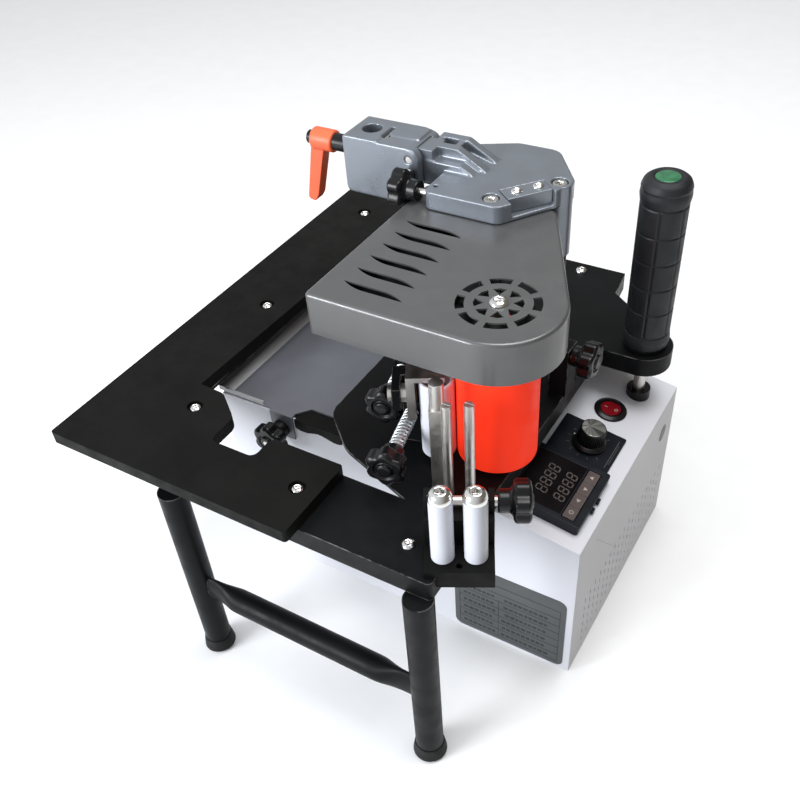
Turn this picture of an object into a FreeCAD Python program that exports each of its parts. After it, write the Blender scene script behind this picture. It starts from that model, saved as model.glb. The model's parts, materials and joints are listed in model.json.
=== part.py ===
"""Portable edge banding machine, as a FreeCAD document of separate pieces.

Plan coordinates: X runs along the front edge of the work board from its left corner, Y runs
from that edge towards the back, and Z is the height above the bench. Every piece is built in
plan coordinates, and its Placement moves it so that the origin lies on the bench under the
middle of the machine. Lengths are in millimetres.
"""
import FreeCAD, Part

import math
import os

import Sketcher
from FreeCAD import Placement, Rotation, Vector

os.makedirs("parts", exist_ok=True)
doc = FreeCAD.newDocument("edge_banding_machine")

DRIVING = {
    # whole machine
    "middle_across": 193.5, "middle_deep": 218.25,
    # work board and base plate
    "board_top": 220, "board_thick": 10.5, "board_across": 224.5, "board_deep": 437.5,
    "board_arm": 73, "board_strip": 73, "board_back": 345, "rear_arm": 200,
    "plate_front": 14, "plate_left": 28, "plate_right": 329, "plate_rear": 409,
    "plate_sheet": 3, "plate_flange": 16.5,
    # leg stand
    "leg_radius": 11, "leg_wall": 1.5, "leg_row": 12.5, "leg_left_across": 105,
    "leg_right_across": 320, "cap_radius": 13.5, "cap_tall": 14,
    "stretcher_height": 83, "stretcher_radius": 10,
    # chassis
    "chassis_left": 57, "chassis_right": 387, "chassis_front": 130, "chassis_back": 346,
    "chassis_sheet": 1.5, "chassis_rim": 183.5, "console_left": 300, "console_high": 166,
    "console_low": 151,
    # feed roller and its gears
    "roller_across": 311, "roller_deep": 146, "roller_radius": 29, "core_radius": 24,
    "roller_bottom": 215, "roller_top": 312, "axle_radius": 6, "neck_radius": 11,
    "gear_bottom": 188, "gear_thick": 10, "gear_module": 1, "bearing_radius": 14.5,
    "running_gap": 0.05,
    # pinch roller
    "pinch_across": 274, "pinch_deep": 125.5, "pinch_radius": 12.5, "pinch_top": 280,
    # infeed guides
    "guide_radius": 7.8, "guide_top": 265, "guide_bolt": 3,
    # head
    "cover_top": 340.5, "cover_wall": 32, "cover_sheet": 2.5, "cover_round": 45.5,
    "bracket_bottom": 341, "bracket_top": 355,
    "block_left": 120, "block_front": 257, "block_back": 295, "block_bottom": 325,
    "block_top": 372, "reel_bore": 8, "pivot_across": 179, "pivot_height": 362,
    # handle
    "handle_across": 361, "handle_deep": 317, "handle_rod": 5, "grip_radius": 19,
    "grip_top": 352,
    # small parts
    "knob_radius": 15, "knob_thick": 12, "hub_radius": 8, "hub_long": 10, "stud_radius": 2.5,
}

sheet = doc.addObject("Spreadsheet::Sheet", "sizes")
for row, (alias, number) in enumerate(DRIVING.items(), start=1):
    sheet.set(f"A{row}", alias)
    sheet.set(f"B{row}", str(number))
    sheet.setAlias(f"B{row}", alias)
doc.recompute()


class Size:
    """A number together with the spreadsheet expression that gives it."""

    def __init__(self, number, text=None):
        self.number = float(number)
        self.text = text or repr(float(number))

    def _join(self, other, sign, result):
        return Size(result, f"({self.text} {sign} {other.text})")

    def __add__(self, other):
        other = as_size(other)
        return self._join(other, "+", self.number + other.number)

    def __sub__(self, other):
        other = as_size(other)
        return self._join(other, "-", self.number - other.number)

    def __mul__(self, other):
        other = as_size(other)
        return self._join(other, "*", self.number * other.number)

    __radd__ = __add__
    __rmul__ = __mul__

    def __rsub__(self, other):
        return as_size(other) - self

    def __neg__(self):
        return self * -1


def as_size(value):
    return value if isinstance(value, Size) else Size(value)


def cell(alias):
    """The sheet's value under this alias, with its expression."""
    return Size(sheet.get(alias), f"sizes.{alias}")


S = {alias: cell(alias) for alias in DRIVING}
PLATE_TOP = S["board_top"] - S["board_thick"]
PLATE_UNDER = PLATE_TOP - S["plate_sheet"]
FLANGE_BOTTOM = PLATE_TOP - S["plate_flange"]
COVER_BOTTOM = S["cover_top"] - S["cover_wall"]
COVER_UNDER = S["cover_top"] - S["cover_sheet"]

UP = Vector(0, 0, 1)
ALONG_X = Vector(1, 0, 0)
ALONG_Y = Vector(0, 1, 0)

parts = []
spots = {}


def bind(obj, **properties):
    """Ties properties to the sheet; double underscores stand for dots."""
    for name, value in properties.items():
        obj.setExpression(name.replace("__", "."), as_size(value).text)


def put(obj, spot, turn=Rotation()):
    """Places an object at a spot in plan coordinates."""
    spots[obj.Name] = spot
    obj.Placement = Placement(Vector(*(as_size(value).number for value in spot)), turn)
    bind(obj, Placement__Base__x=spot[0], Placement__Base__y=spot[1], Placement__Base__z=spot[2])
    return obj


def part(obj, label):
    """Names a finished piece and moves it from plan coordinates to the machine's own frame."""
    obj.Label = label
    x, y, _ = spots.get(obj.Name, (0, 0, 0))
    bind(obj, Placement__Base__x=x - S["middle_across"], Placement__Base__y=y - S["middle_deep"])
    parts.append(obj)
    return obj


def box(low, extent, turn=Rotation()):
    obj = put(doc.addObject("Part::Box", "block"), low, turn)
    bind(obj, Length=extent[0], Width=extent[1], Height=extent[2])
    return obj


def rod(start, radius, length, along=UP):
    obj = put(doc.addObject("Part::Cylinder", "rod"), start, Rotation(UP, along))
    bind(obj, Radius=radius, Height=length)
    return obj


def cone(start, low_radius, high_radius, length, along=UP):
    obj = put(doc.addObject("Part::Cone", "cone"), start, Rotation(UP, along))
    bind(obj, Radius1=low_radius, Radius2=high_radius, Height=length)
    return obj


def hexagon(start, across_corners, length, along=UP):
    obj = put(doc.addObject("Part::Prism", "hexagon"), start, Rotation(UP, along))
    bind(obj, Circumradius=across_corners, Height=length)
    return obj


def fuse(*pieces):
    if len(pieces) == 1:
        return pieces[0]
    obj = doc.addObject("Part::MultiFuse", "joined")
    obj.Shapes = list(pieces)
    return obj


def cut(base, *tools):
    obj = doc.addObject("Part::Cut", "cut")
    obj.Base = base
    obj.Tool = fuse(*tools)
    return obj


def group(*pieces):
    """Separate solids that share one node, as identical fasteners do."""
    obj = doc.addObject("Part::Compound", "group")
    obj.Links = list(pieces)
    return obj


def tube(start, outer, inner, length, along=UP):
    return cut(rod(start, outer, length, along), rod(start, inner, length, along))


def sketch_in(body, plane_role, offset=0):
    """A sketch on one of the body's own origin planes, moved along the plane's normal."""
    plane = next(item for item in body.Origin.OriginFeatures if item.Role == plane_role)
    sketch = body.newObject("Sketcher::SketchObject", "outline")
    sketch.AttachmentSupport = (plane, "")
    sketch.MapMode = "FlatFace"
    bind(sketch, AttachmentOffset__Base__z=offset)
    return sketch


def draw_polygon(sketch, points):
    """A closed outline whose corners are all held at sheet-driven coordinates."""
    corners = [(as_size(first), as_size(second)) for first, second in points]
    spots = [Vector(first.number, second.number, 0) for first, second in corners]
    count = len(spots)
    for index, spot in enumerate(spots):
        sketch.addGeometry(Part.LineSegment(spot, spots[(index + 1) % count]))
    for index in range(count):
        sketch.addConstraint(Sketcher.Constraint("Coincident", index, 2, (index + 1) % count, 1))
    for index, (first, second) in enumerate(corners):
        for kind, value in (("DistanceX", first), ("DistanceY", second)):
            place = sketch.addConstraint(Sketcher.Constraint(kind, -1, 1, index, 1, value.number))
            sketch.setExpression(f"Constraints[{place}]", value.text)


def upright_edges(shape, corners):
    """Names of the edges that run along Z through the given corners."""
    names = []
    for index, edge in enumerate(shape.Edges, start=1):
        first, last = edge.Vertexes[0].Point, edge.Vertexes[-1].Point
        if abs(first.x - last.x) > 0.01 or abs(first.y - last.y) > 0.01:
            continue
        if any(math.hypot(first.x - x, first.y - y) < 0.05 for x, y in corners):
            names.append(f"Edge{index}")
    return names


def slab(points, bottom, thick, rounds=None):
    """A body padded up from a polygon; rounds maps a radius to the corners it rounds."""
    body = doc.addObject("PartDesign::Body", "slab")
    sketch = sketch_in(body, "XY_Plane", bottom)
    draw_polygon(sketch, points)
    pad = body.newObject("PartDesign::Pad", "pad")
    pad.Profile = sketch
    bind(pad, Length=thick)
    doc.recompute()
    for radius, numbers in (rounds or {}).items():
        tip = body.Tip
        corners = [tuple(as_size(value).number for value in points[number]) for number in numbers]
        fillet = body.newObject("PartDesign::Fillet", "corners")
        fillet.Base = (tip, upright_edges(tip.Shape, corners))
        bind(fillet, Radius=radius)
        doc.recompute()
    return body


def hollow(body, open_faces, wall):
    """Turns the body into a shell that is open at the named faces."""
    solid = body.Tip
    shell = body.newObject("PartDesign::Thickness", "shell")
    shell.Base = (solid, open_faces)
    shell.Reversed = True
    shell.Join = "Intersection"
    bind(shell, Value=wall)
    doc.recompute()
    return body


def faces_at(shape, height):
    """Names of the level faces at this height."""
    return [f"Face{index}" for index, face in enumerate(shape.Faces, start=1)
            if abs(face.BoundBox.ZMin - height) < 0.01 and abs(face.BoundBox.ZMax - height) < 0.01]


def heading(degrees):
    """Unit vector in plan, counter-clockwise from X."""
    return Vector(math.cos(math.radians(degrees)), math.sin(math.radians(degrees)), 0)


def along(start, direction, distance):
    """The spot a distance from a start along a unit vector."""
    return tuple(as_size(value) + step * distance for value, step in zip(start, direction))


# ---------------------------------------------------------------- fasteners and knobs

def button_screw(top, head_radius, head_tall, shank_radius, shank_long, up=UP):
    """Domed head on the surface at `top`, hexagon socket, and a shank below it."""
    rim = rod(top, head_radius, head_tall * 0.35, up)
    dome = cone(along(top, up, head_tall * 0.35), head_radius, head_radius * 0.55,
                head_tall * 0.65, up)
    shank = rod(along(top, up, -shank_long), shank_radius, shank_long, up)
    socket = hexagon(along(top, up, head_tall * 0.4), head_radius * 0.45, head_tall * 0.8, up)
    return cut(fuse(rim, dome, shank), socket)


def star_knob(start, out, lobes=6, hub_long=S["hub_long"], bore=S["stud_radius"], bore_deep=14):
    """Lobed disc with a hub that faces the machine; `start` is the hub's foot, `out` points away."""
    radius, thick = S["knob_radius"], S["knob_thick"]
    disc_start = along(start, out, hub_long)
    disc = rod(disc_start, radius, thick, out)
    side = out.cross(UP)
    lift = out.cross(side)
    notches = []
    for index in range(lobes):
        angle = 2 * math.pi * index / lobes
        reach = side * math.cos(angle) + lift * math.sin(angle)
        middle = along(disc_start, reach, radius * 1.16)
        notches.append(rod(along(middle, out, -1), radius * 0.33, thick + 2, out))
    hole = rod(start, bore + S["running_gap"], bore_deep, out)
    return cut(fuse(disc, rod(start, S["hub_radius"], hub_long, out)), *notches, hole)


# ---------------------------------------------------------------- places that pieces share

ROLLER = (S["roller_across"], S["roller_deep"])
MOTOR_ANGLE = 150
GEAR_TEETH = 26
PINION_TEETH = 13
MOTOR_REACH = DRIVING["gear_module"] * (GEAR_TEETH + PINION_TEETH) / 2
MOTOR_SPOT = along((*ROLLER, 0), heading(MOTOR_ANGLE), MOTOR_REACH)[:2]
HANGER_ANGLES = (120, 180, 240)
POT_BOTTOM = 118


# ---------------------------------------------------------------- board, plate and legs

BOARD_SCREWS = ((82.7, 75.4), (48.9, 214.3), (207, 39.8), (40, 390), (150, 390))
PLATE_SCREWS = ((299, 37.7), (271.5, 396.4))
PILLAR_SPOTS = ((188, 140), (245, 140), (90, 337), (290, 337))
SCREW_RADIUS = 2.5
SCREW_HEAD = 5
SCREW_HOLE = 2.6
SINK_RADIUS = 6.5
SINK_DEEP = 3.2


def make_work_board():
    """U-shaped board with a notch for the tray knob and sunk screw holes."""
    arm, strip, back = S["board_arm"], S["board_strip"], S["board_back"]
    notch_left, notch_right, notch_front = 119, 160, 50
    points = [
        (0, 0), (S["board_across"], 0), (S["board_across"], arm), (notch_right, arm),
        (notch_right, notch_front), (notch_left, notch_front), (notch_left, 78), (93, 98),
        (strip - 4, 99), (strip + 3, back), (S["rear_arm"], back),
        (S["rear_arm"], S["board_deep"]), (0, S["board_deep"]),
    ]
    bottom = PLATE_TOP
    board = slab(points, bottom, S["board_thick"], {3: (0, 1, 2, 11, 12), 6: (3, 4, 5), 12: (6, 7)})
    holes = [rod((x, y, bottom - 1), SCREW_HOLE, S["board_thick"] + 2) for x, y in BOARD_SCREWS]
    sinks = [rod((x, y, S["board_top"] - SINK_DEEP), SINK_RADIUS, SINK_DEEP + 1)
             for x, y in BOARD_SCREWS]
    part(cut(board, *holes, *sinks), "work_board")


def make_base_plate():
    """Folded pan with a rounded ear for the handle and an opening over the glue tray."""
    front, left, right, rear = (S[f"plate_{side}"] for side in ("front", "left", "right", "rear"))
    ear_front, ear_right, ear_back = 294, 384, 340
    points = [
        (left, front), (right, front), (right, ear_front), (ear_right, ear_front),
        (ear_right, ear_back), (360, ear_back), (329, 364), (313, 376), (309, rear), (left, rear),
    ]
    plate = slab(points, FLANGE_BOTTOM, S["plate_flange"], {22.5: (3, 4), 4: (0, 1, 9)})
    hollow(plate, faces_at(plate.Shape, FLANGE_BOTTOM.number), S["plate_sheet"])
    below = PLATE_UNDER - 1
    thick = S["plate_sheet"] + 2
    opening = slab([(275, 73), (209, 97), (175, 128), (175, 340), (70, 340), (70, 92), (104, 88),
                    (104, 45), (165, 45), (165, 73)], below, thick, {22: (2,), 30: (1,)})
    holes = [rod((x, y, below), SCREW_HOLE, thick) for x, y in BOARD_SCREWS + PLATE_SCREWS]
    holes += [rod((*ROLLER, below), S["bearing_radius"], thick),
              rod((S["handle_across"], S["handle_deep"], below), S["handle_rod"], thick)]
    part(cut(plate, opening, *holes), "base_plate")


def make_leg_stand():
    """Two tube legs welded to a round stretcher, on rubber caps."""
    foot = S["cap_tall"] - 3
    spots_across = [S["leg_left_across"], S["leg_right_across"]]
    legs = [rod((x, S["leg_row"], foot), S["leg_radius"], FLANGE_BOTTOM - foot)
            for x in spots_across]
    bores = [rod((x, S["leg_row"], foot), S["leg_radius"] - S["leg_wall"], FLANGE_BOTTOM - foot)
             for x in spots_across]
    bar = rod((S["leg_left_across"], S["leg_row"], S["stretcher_height"]), S["stretcher_radius"],
              S["leg_right_across"] - S["leg_left_across"], ALONG_X)
    part(cut(fuse(*legs, bar), *bores), "leg_stand")
    caps = []
    for x in spots_across:
        skirt = cone((x, S["leg_row"], 0), S["cap_radius"], S["leg_radius"] + 1, S["cap_tall"])
        caps.append(cut(skirt, rod((x, S["leg_row"], foot), S["leg_radius"], S["cap_tall"])))
    part(group(*caps), "leg_caps")


# ---------------------------------------------------------------- chassis

CONSOLE_FALL = S["console_high"] - S["console_low"]
CONSOLE_RUN = S["chassis_right"] - S["console_left"]
CONSOLE_TILT = math.degrees(math.atan2(CONSOLE_FALL.number, CONSOLE_RUN.number))
ON_CONSOLE = Rotation(ALONG_Y, CONSOLE_TILT)
CONSOLE_UP = ON_CONSOLE.multVec(UP)
CONSOLE_DOWNHILL = ON_CONSOLE.multVec(ALONG_X)

CONTROLLER = (347, 176)
CONTROLLER_SIZE = (63, 64, 9)
SPEED_PANEL = (347, 235)
SPEED_SHAFT = (349, 236)
ROCKER = (349, 284)
ROCKER_PIVOT = 0.5
KEY_PITCH = 13.5
KEY_DOWNHILL = 20
POTENTIOMETER_RADIUS = 9
ROCKER_BARREL = 11
TRAY_KNOB = (120.5, 171)
INLET = (325, 30)
INLET_SIZE = (27, 19)


def console_spot(x, y, above=0):
    """A spot over the console's sloping top: x and y in plan, `above` square to the sheet."""
    fall = (as_size(x).number - S["console_left"].number) * CONSOLE_FALL.number / CONSOLE_RUN.number
    return along((x, y, S["console_high"] - fall), CONSOLE_UP, above)


def console_box(x, y, above, extent):
    """A box on the console's slope, centred on x and y."""
    corner = along(console_spot(x, y, above), CONSOLE_DOWNHILL, -extent[0] / 2)
    return box(along(corner, ALONG_Y, -extent[1] / 2), extent, ON_CONSOLE)


def make_chassis():
    left, right, rim = S["chassis_left"], S["chassis_right"], S["chassis_rim"]
    step = S["console_left"]
    body = doc.addObject("PartDesign::Body", "chassis")
    outline = sketch_in(body, "XZ_Plane", -S["chassis_front"])
    floor = S["chassis_sheet"]
    draw_polygon(outline, [(left, floor), (right, floor), (right, S["console_low"]),
                           (step, S["console_high"]), (step, rim), (left, rim)])
    pad = body.newObject("PartDesign::Pad", "pad")
    pad.Profile = outline
    pad.Reversed = True
    bind(pad, Length=S["chassis_back"] - S["chassis_front"])
    doc.recompute()
    open_faces = faces_at(pad.Shape, rim.number) + faces_at(pad.Shape, floor.number)
    hollow(body, open_faces, S["chassis_sheet"])
    window = console_box(*CONTROLLER, -20, (57, 58, 30))
    shaft_hole = rod(console_spot(*SPEED_SHAFT, -10), POTENTIOMETER_RADIUS, 20, CONSOLE_UP)
    rocker_hole = rod(console_spot(*ROCKER, -10), ROCKER_BARREL, 20, CONSOLE_UP)
    stud_hole = rod((S["handle_across"], S["handle_deep"], 130), S["handle_rod"], 50)
    vents = [box((right - 5, 154 + 10.9 * column, 13 + 10.3 * line), (10, 2, 6))
             for column in range(17) for line in range(6)]
    inlet_hole = box((INLET[0], S["chassis_back"] - 10, INLET[1]), (INLET_SIZE[0], 20, INLET_SIZE[1]))
    knob_hole = rod((TRAY_KNOB[0], S["chassis_front"] - 5, TRAY_KNOB[1]), S["stud_radius"], 20,
                    ALONG_Y)
    part(cut(body, window, shaft_hole, rocker_hole, stud_hole, inlet_hole, knob_hole, *vents),
         "chassis_shell")

    pan = box((left, S["chassis_front"], 0),
              (right - left, S["chassis_back"] - S["chassis_front"], S["chassis_sheet"]))
    part(pan, "chassis_bottom")
    label = box((280, S["chassis_front"] - 0.8, 3), (101, 0.8, 85))
    part(label, "rating_label")


def make_tray():
    """The glue tray's lid rests on the rim, with a slotted tab over the front wall."""
    rim = S["chassis_rim"]
    left, front, right, back = 57.5, 131, 182, 334
    tab_left, tab_right, tab_front = 109, 132, 128
    lid = slab([(left, front), (tab_left, front), (tab_left, tab_front), (tab_right, tab_front),
                (tab_right, 134), (141, 145), (right, 145), (right, back), (left, back)], rim, 2)
    tab = box((tab_left, tab_front, rim - 24), (tab_right - tab_left, 1.5, 24.5))
    slot = box((TRAY_KNOB[0] - 3, tab_front - 2, rim - 26), (6, 5, 17))
    notches = [rod((x, y, rim - 1), 6, 4) for x, y in PILLAR_SPOTS]
    part(cut(fuse(lid, tab), slot, *notches), "tray_lid")

    pot_spot, pot_size, pot_wall = (92, 160, POT_BOTTOM), (78, 120, 60), 5
    pot = box(pot_spot, pot_size)
    inside = box(tuple(value + pot_wall for value in pot_spot),
                 (pot_size[0] - 2 * pot_wall, pot_size[1] - 2 * pot_wall, pot_size[2]))
    part(cut(pot, inside), "glue_pot")
    part(group(*(rod((80, y, 128), 4, 12, ALONG_X) for y in (190, 220, 250))), "heater_rods")
    knob_foot = (TRAY_KNOB[0], tab_front - 0.3, TRAY_KNOB[1])
    part(star_knob(knob_foot, -ALONG_Y, bore_deep=23.7), "tray_knob")
    return rod((TRAY_KNOB[0], 104.2, TRAY_KNOB[1]), S["stud_radius"], 32, ALONG_Y)


# ---------------------------------------------------------------- feed roller and drive

def spur_gear(spot, teeth, bore, first_tooth):
    """Straight-flanked spur gear with a tooth centred on the heading `first_tooth`."""
    module = S["gear_module"].number
    pitch_radius = module * teeth / 2
    root, tip = pitch_radius - 1.3 * module, pitch_radius + 0.9 * module
    half_root, half_tip = 1.05 * module / root, 0.3 * module / tip
    corners = []
    for index in range(teeth):
        middle = math.radians(first_tooth) + 2 * math.pi * index / teeth
        for radius, turn in ((root, -half_root), (tip, -half_tip), (tip, half_tip), (root, half_root)):
            corners.append(Vector(radius * math.cos(middle + turn), radius * math.sin(middle + turn), 0))
    face = Part.Face(Part.makePolygon(corners + corners[:1]))
    shape = face.extrude(Vector(0, 0, S["gear_thick"].number))
    shape = shape.cut(Part.makeCylinder(as_size(bore).number, S["gear_thick"].number))
    gear = doc.addObject("Part::Feature", "gear")
    gear.Shape = shape
    return put(gear, spot)


def make_standoffs():
    """Pillars under the base plate, rods that hang the motor, and legs under the glue pot."""
    floor = S["chassis_sheet"]
    pillars = [rod((x, y, floor), 5, PLATE_UNDER - floor) for x, y in PILLAR_SPOTS]
    hangers = [rod(along((*MOTOR_SPOT, 160), heading(angle), 15), 2.5, PLATE_UNDER - 160)
               for angle in HANGER_ANGLES]
    pot_legs = [rod((x, y, floor), 4, POT_BOTTOM - floor) for x in (99, 163) for y in (170, 270)]
    part(group(*pillars, *hangers, *pot_legs), "standoffs")


def make_feed_roller():
    gap = S["running_gap"]
    bottom, top = S["roller_bottom"], S["roller_top"]
    sleeve = tube((*ROLLER, bottom), S["roller_radius"], S["core_radius"], top - bottom)
    part(sleeve, "feed_roller_sleeve")
    drum = rod((*ROLLER, bottom), S["core_radius"], top - bottom)
    neck = rod((*ROLLER, S["gear_bottom"] + S["gear_thick"]), S["neck_radius"],
               bottom - S["gear_bottom"] - S["gear_thick"])
    seat = rod((*ROLLER, S["gear_bottom"]), 9, S["gear_thick"])
    bore = rod((*ROLLER, S["gear_bottom"] - 1), S["axle_radius"] + gap, 140)
    part(cut(fuse(drum, neck, seat), bore), "feed_roller_core")
    part(spur_gear((*ROLLER, S["gear_bottom"]), GEAR_TEETH, 9, MOTOR_ANGLE), "feed_gear")
    part(tube((*ROLLER, PLATE_UNDER - 2), S["bearing_radius"], S["neck_radius"] + gap, 5),
         "neck_bearing")
    foot = S["gear_bottom"] - 8
    axle = rod((*ROLLER, foot), S["axle_radius"], COVER_UNDER - foot)
    screw_hole = rod((*ROLLER, COVER_UNDER - 15), 2.5, 15)
    reach = 32
    bar = box((ROLLER[0] - 7, ROLLER[1] - reach - 4, foot), (14, 2 * reach + 8, 6))
    ends = [rod((ROLLER[0], ROLLER[1] + side * reach, foot + 6), 4, PLATE_UNDER - foot - 6)
            for side in (-1, 1)]
    part(cut(fuse(axle, bar, *ends), screw_hole), "roller_axle")


def make_motor():
    gap_heading = MOTOR_ANGLE + 180 + 180 / PINION_TEETH
    wheel = spur_gear((*MOTOR_SPOT, S["gear_bottom"]), PINION_TEETH, 2, gap_heading)
    part(fuse(wheel, rod((*MOTOR_SPOT, 150), 3, 49)), "motor_pinion")
    gearbox = rod((*MOTOR_SPOT, 120), 18.5, 40)
    can = rod((*MOTOR_SPOT, 45), 17.5, 75)
    shaft_room = rod((*MOTOR_SPOT, 149.9), 3 + S["running_gap"], 12)
    part(cut(fuse(gearbox, can), shaft_room), "gear_motor")


# ---------------------------------------------------------------- pinch roller and adjusters

TOWARDS_ROLLER = Vector(DRIVING["roller_across"] - DRIVING["pinch_across"],
                        DRIVING["roller_deep"] - DRIVING["pinch_deep"], 0).normalize()
PINCH = (S["pinch_across"], S["pinch_deep"])


PINCH_AXLE_RADIUS = 4
PINCH_FOOT = 3
SLIDE_RADIUS = 7
SLIDE_HEIGHT = 262
SLIDE_ASIDE = -8
CARRIAGE_BOTTOM = 248.5
CARRIAGE_LUG = 4


def make_pinch_roller():
    """Nylon roller on an axle that hangs from a sliding carriage; returns the slide's guide."""
    bottom, top = S["roller_bottom"], S["pinch_top"]
    recess_radius, recess_deep = 8.5, 12
    roller = rod((*PINCH, bottom), S["pinch_radius"], top - bottom)
    bore = rod((*PINCH, bottom - 1), PINCH_AXLE_RADIUS + S["running_gap"], top - bottom + 2)
    recess = rod((*PINCH, top - recess_deep), recess_radius, recess_deep)
    part(cut(roller, bore, recess), "pinch_roller")
    lug_bottom = top + 2
    foot = (*PINCH, bottom - PINCH_FOOT)
    axle = rod(foot, PINCH_AXLE_RADIUS, lug_bottom + CARRIAGE_LUG - bottom + PINCH_FOOT)
    part(fuse(axle, rod(foot, 7, 2.7)), "pinch_axle")
    away = -TOWARDS_ROLLER
    turn = Rotation(ALONG_X, away)
    across = Vector(-away.y, away.x, 0)

    def behind(start, side, low, extent):
        """A block that starts behind the roller and reaches further away from it."""
        return box(along(along((*PINCH, low), away, start), across, side), extent, turn)

    def slide(start, radius, length):
        """A rod on the slide's own line."""
        foot = along(along((*PINCH, SLIDE_HEIGHT), away, start), across, SLIDE_ASIDE)
        return rod(foot, radius, length, away)

    lug = behind(-6, -7, lug_bottom, (27, 14, CARRIAGE_LUG))
    plate = behind(15, -15, CARRIAGE_BOTTOM, (6, 22, lug_bottom - CARRIAGE_BOTTOM + 1))
    axle_hole = rod((*PINCH, lug_bottom - 1), PINCH_AXLE_RADIUS, 8)
    part(cut(fuse(lug, plate, slide(20, SLIDE_RADIUS, 15)), axle_hole), "pinch_carriage")
    saddle = behind(25.5, -27, 252.5, (6.5, 28, 18.5))
    bridge = behind(16, -27, 247.5, (10.5, 10.5, 23.5))
    return cut(fuse(saddle, bridge), slide(15, SLIDE_RADIUS + S["running_gap"], 40))


ADJUSTER_HEADING = -77.3
ADJUSTERS = {"rear": (221, 156, 28), "front": (255, 108, 42)}
ADJUSTER_HEIGHT = 238


def make_adjusters(slide_guide, *other_blocks):
    """Two screw rods point at the operator, each with a coil spring and a star knob.

    The front one's anchor also carries the guide of the pinch slide.
    """
    out = heading(ADJUSTER_HEADING)
    turn = Rotation(ALONG_X, out)
    across = Vector(-out.y, out.x, 0)
    studs, springs, blocks = [], [], list(other_blocks)
    for name, (x, y, spring_long) in ADJUSTERS.items():
        middle = (x, y, ADJUSTER_HEIGHT)
        foot = along(middle, out, -spring_long / 2)
        end = along(middle, out, spring_long / 2)
        studs.append(rod(along(foot, out, -11), S["stud_radius"], spring_long + 34, out))
        springs.append(tube(foot, 5.5, 3.2, spring_long, out))
        part(star_knob(end, out, bore_deep=23.5), f"{name}_adjuster_knob")
        corner = along(along((foot[0], foot[1], PLATE_TOP), out, -11), across, -7)
        anchor = box(corner, (10.9, 14, 38), turn)
        if name == "front":
            anchor = fuse(anchor, slide_guide)
        blocks.append(cut(anchor, rod(along(foot, out, -20), S["stud_radius"], 30, out)))
    part(group(*springs), "adjuster_springs")
    part(group(*blocks), "guide_blocks")
    return studs


# ---------------------------------------------------------------- infeed guides

INFEED_HEADING = 27.6
INFEED = (336, 41)


def infeed_spot(across_by, onward_by, height):
    """A spot near the infeed bracket, across the band and onward along its travel."""
    across, onward = heading(INFEED_HEADING), heading(INFEED_HEADING + 90)
    return along(along((*INFEED, height), across, across_by), onward, onward_by)


def make_infeed():
    """Two guide rollers, two slotted pins and the glue post; returns the bracket's cross rod."""
    across = heading(INFEED_HEADING)
    turn = Rotation(ALONG_X, across)
    shelf_under, shelf_top, web_top = 200, 214.8, 238

    foot = box(infeed_spot(-23, -14, shelf_under), (46, 44, shelf_top - shelf_under), turn)
    web = box(infeed_spot(-23, 10, shelf_under), (46, 18, web_top - shelf_under), turn)
    ears = [box(infeed_spot(side, 16, web_top - 1), (4, 12, 13), turn) for side in (-23, 19)]
    rod_hole = rod(infeed_spot(-30, 22, 244), 3.5, 60, across)
    bolt_holes = [rod(infeed_spot(side * 10.9, 0, 190), S["guide_bolt"], 30) for side in (-1, 1)]
    plate_room = box((300, 0, FLANGE_BOTTOM - 5), (29.1, 120, PLATE_TOP - FLANGE_BOTTOM + 5.1))
    screw_hole = rod(infeed_spot(0, -8, 205), 2.2, 12)
    part(cut(fuse(foot, web, *ears), rod_hole, *bolt_holes, plate_room, screw_hole),
         "infeed_bracket")

    bottom = S["roller_bottom"]
    for name, side in (("left", -1), ("right", 1)):
        x, y, _ = infeed_spot(side * 10.9, 0, 0)
        part(tube((x, y, bottom), S["guide_radius"], S["guide_bolt"] + S["running_gap"],
                  S["guide_top"] - bottom), f"{name}_guide_roller")
    bolts = [button_screw((*infeed_spot(side * 10.9, 0, 0)[:2], S["guide_top"] + 0.2),
                          S["guide_radius"], 11, S["guide_bolt"], 55) for side in (-1, 1)]
    part(group(*bolts), "guide_roller_bolts")
    part(star_knob(infeed_spot(25, 22, 244), across, bore=3.5, bore_deep=15), "infeed_knob")
    pins = [cut(rod((x, y, PLATE_TOP), 3.5, 84.5), box((x - 5, y - 0.6, 291.5), (10, 1.2, 4)))
            for x, y in ((301.8, 89.4), (314.7, 97))]
    part(group(*pins), "guide_pins")

    post_turn = Rotation(UP, INFEED_HEADING)
    corner = along(along((290, 98, PLATE_TOP), across, -5.5), heading(INFEED_HEADING + 90), -5.5)
    post = box(corner, (11, 11, 72), post_turn)
    neck = rod((290, 98, PLATE_TOP + 72), 5, 21)
    cross_hole = rod(along((290, 98, PLATE_TOP + 64), across, -10), 2.5, 20, across)
    part(cut(fuse(post, neck), cross_hole), "glue_post")
    return rod(infeed_spot(-23, 22, 244), 3.5, 62, across)


# ---------------------------------------------------------------- head

COVER_SCREW_SPOTS = ((256.4, 243.2), (291.5, 285))
BOLT_ENDS = (318, 280)


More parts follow.
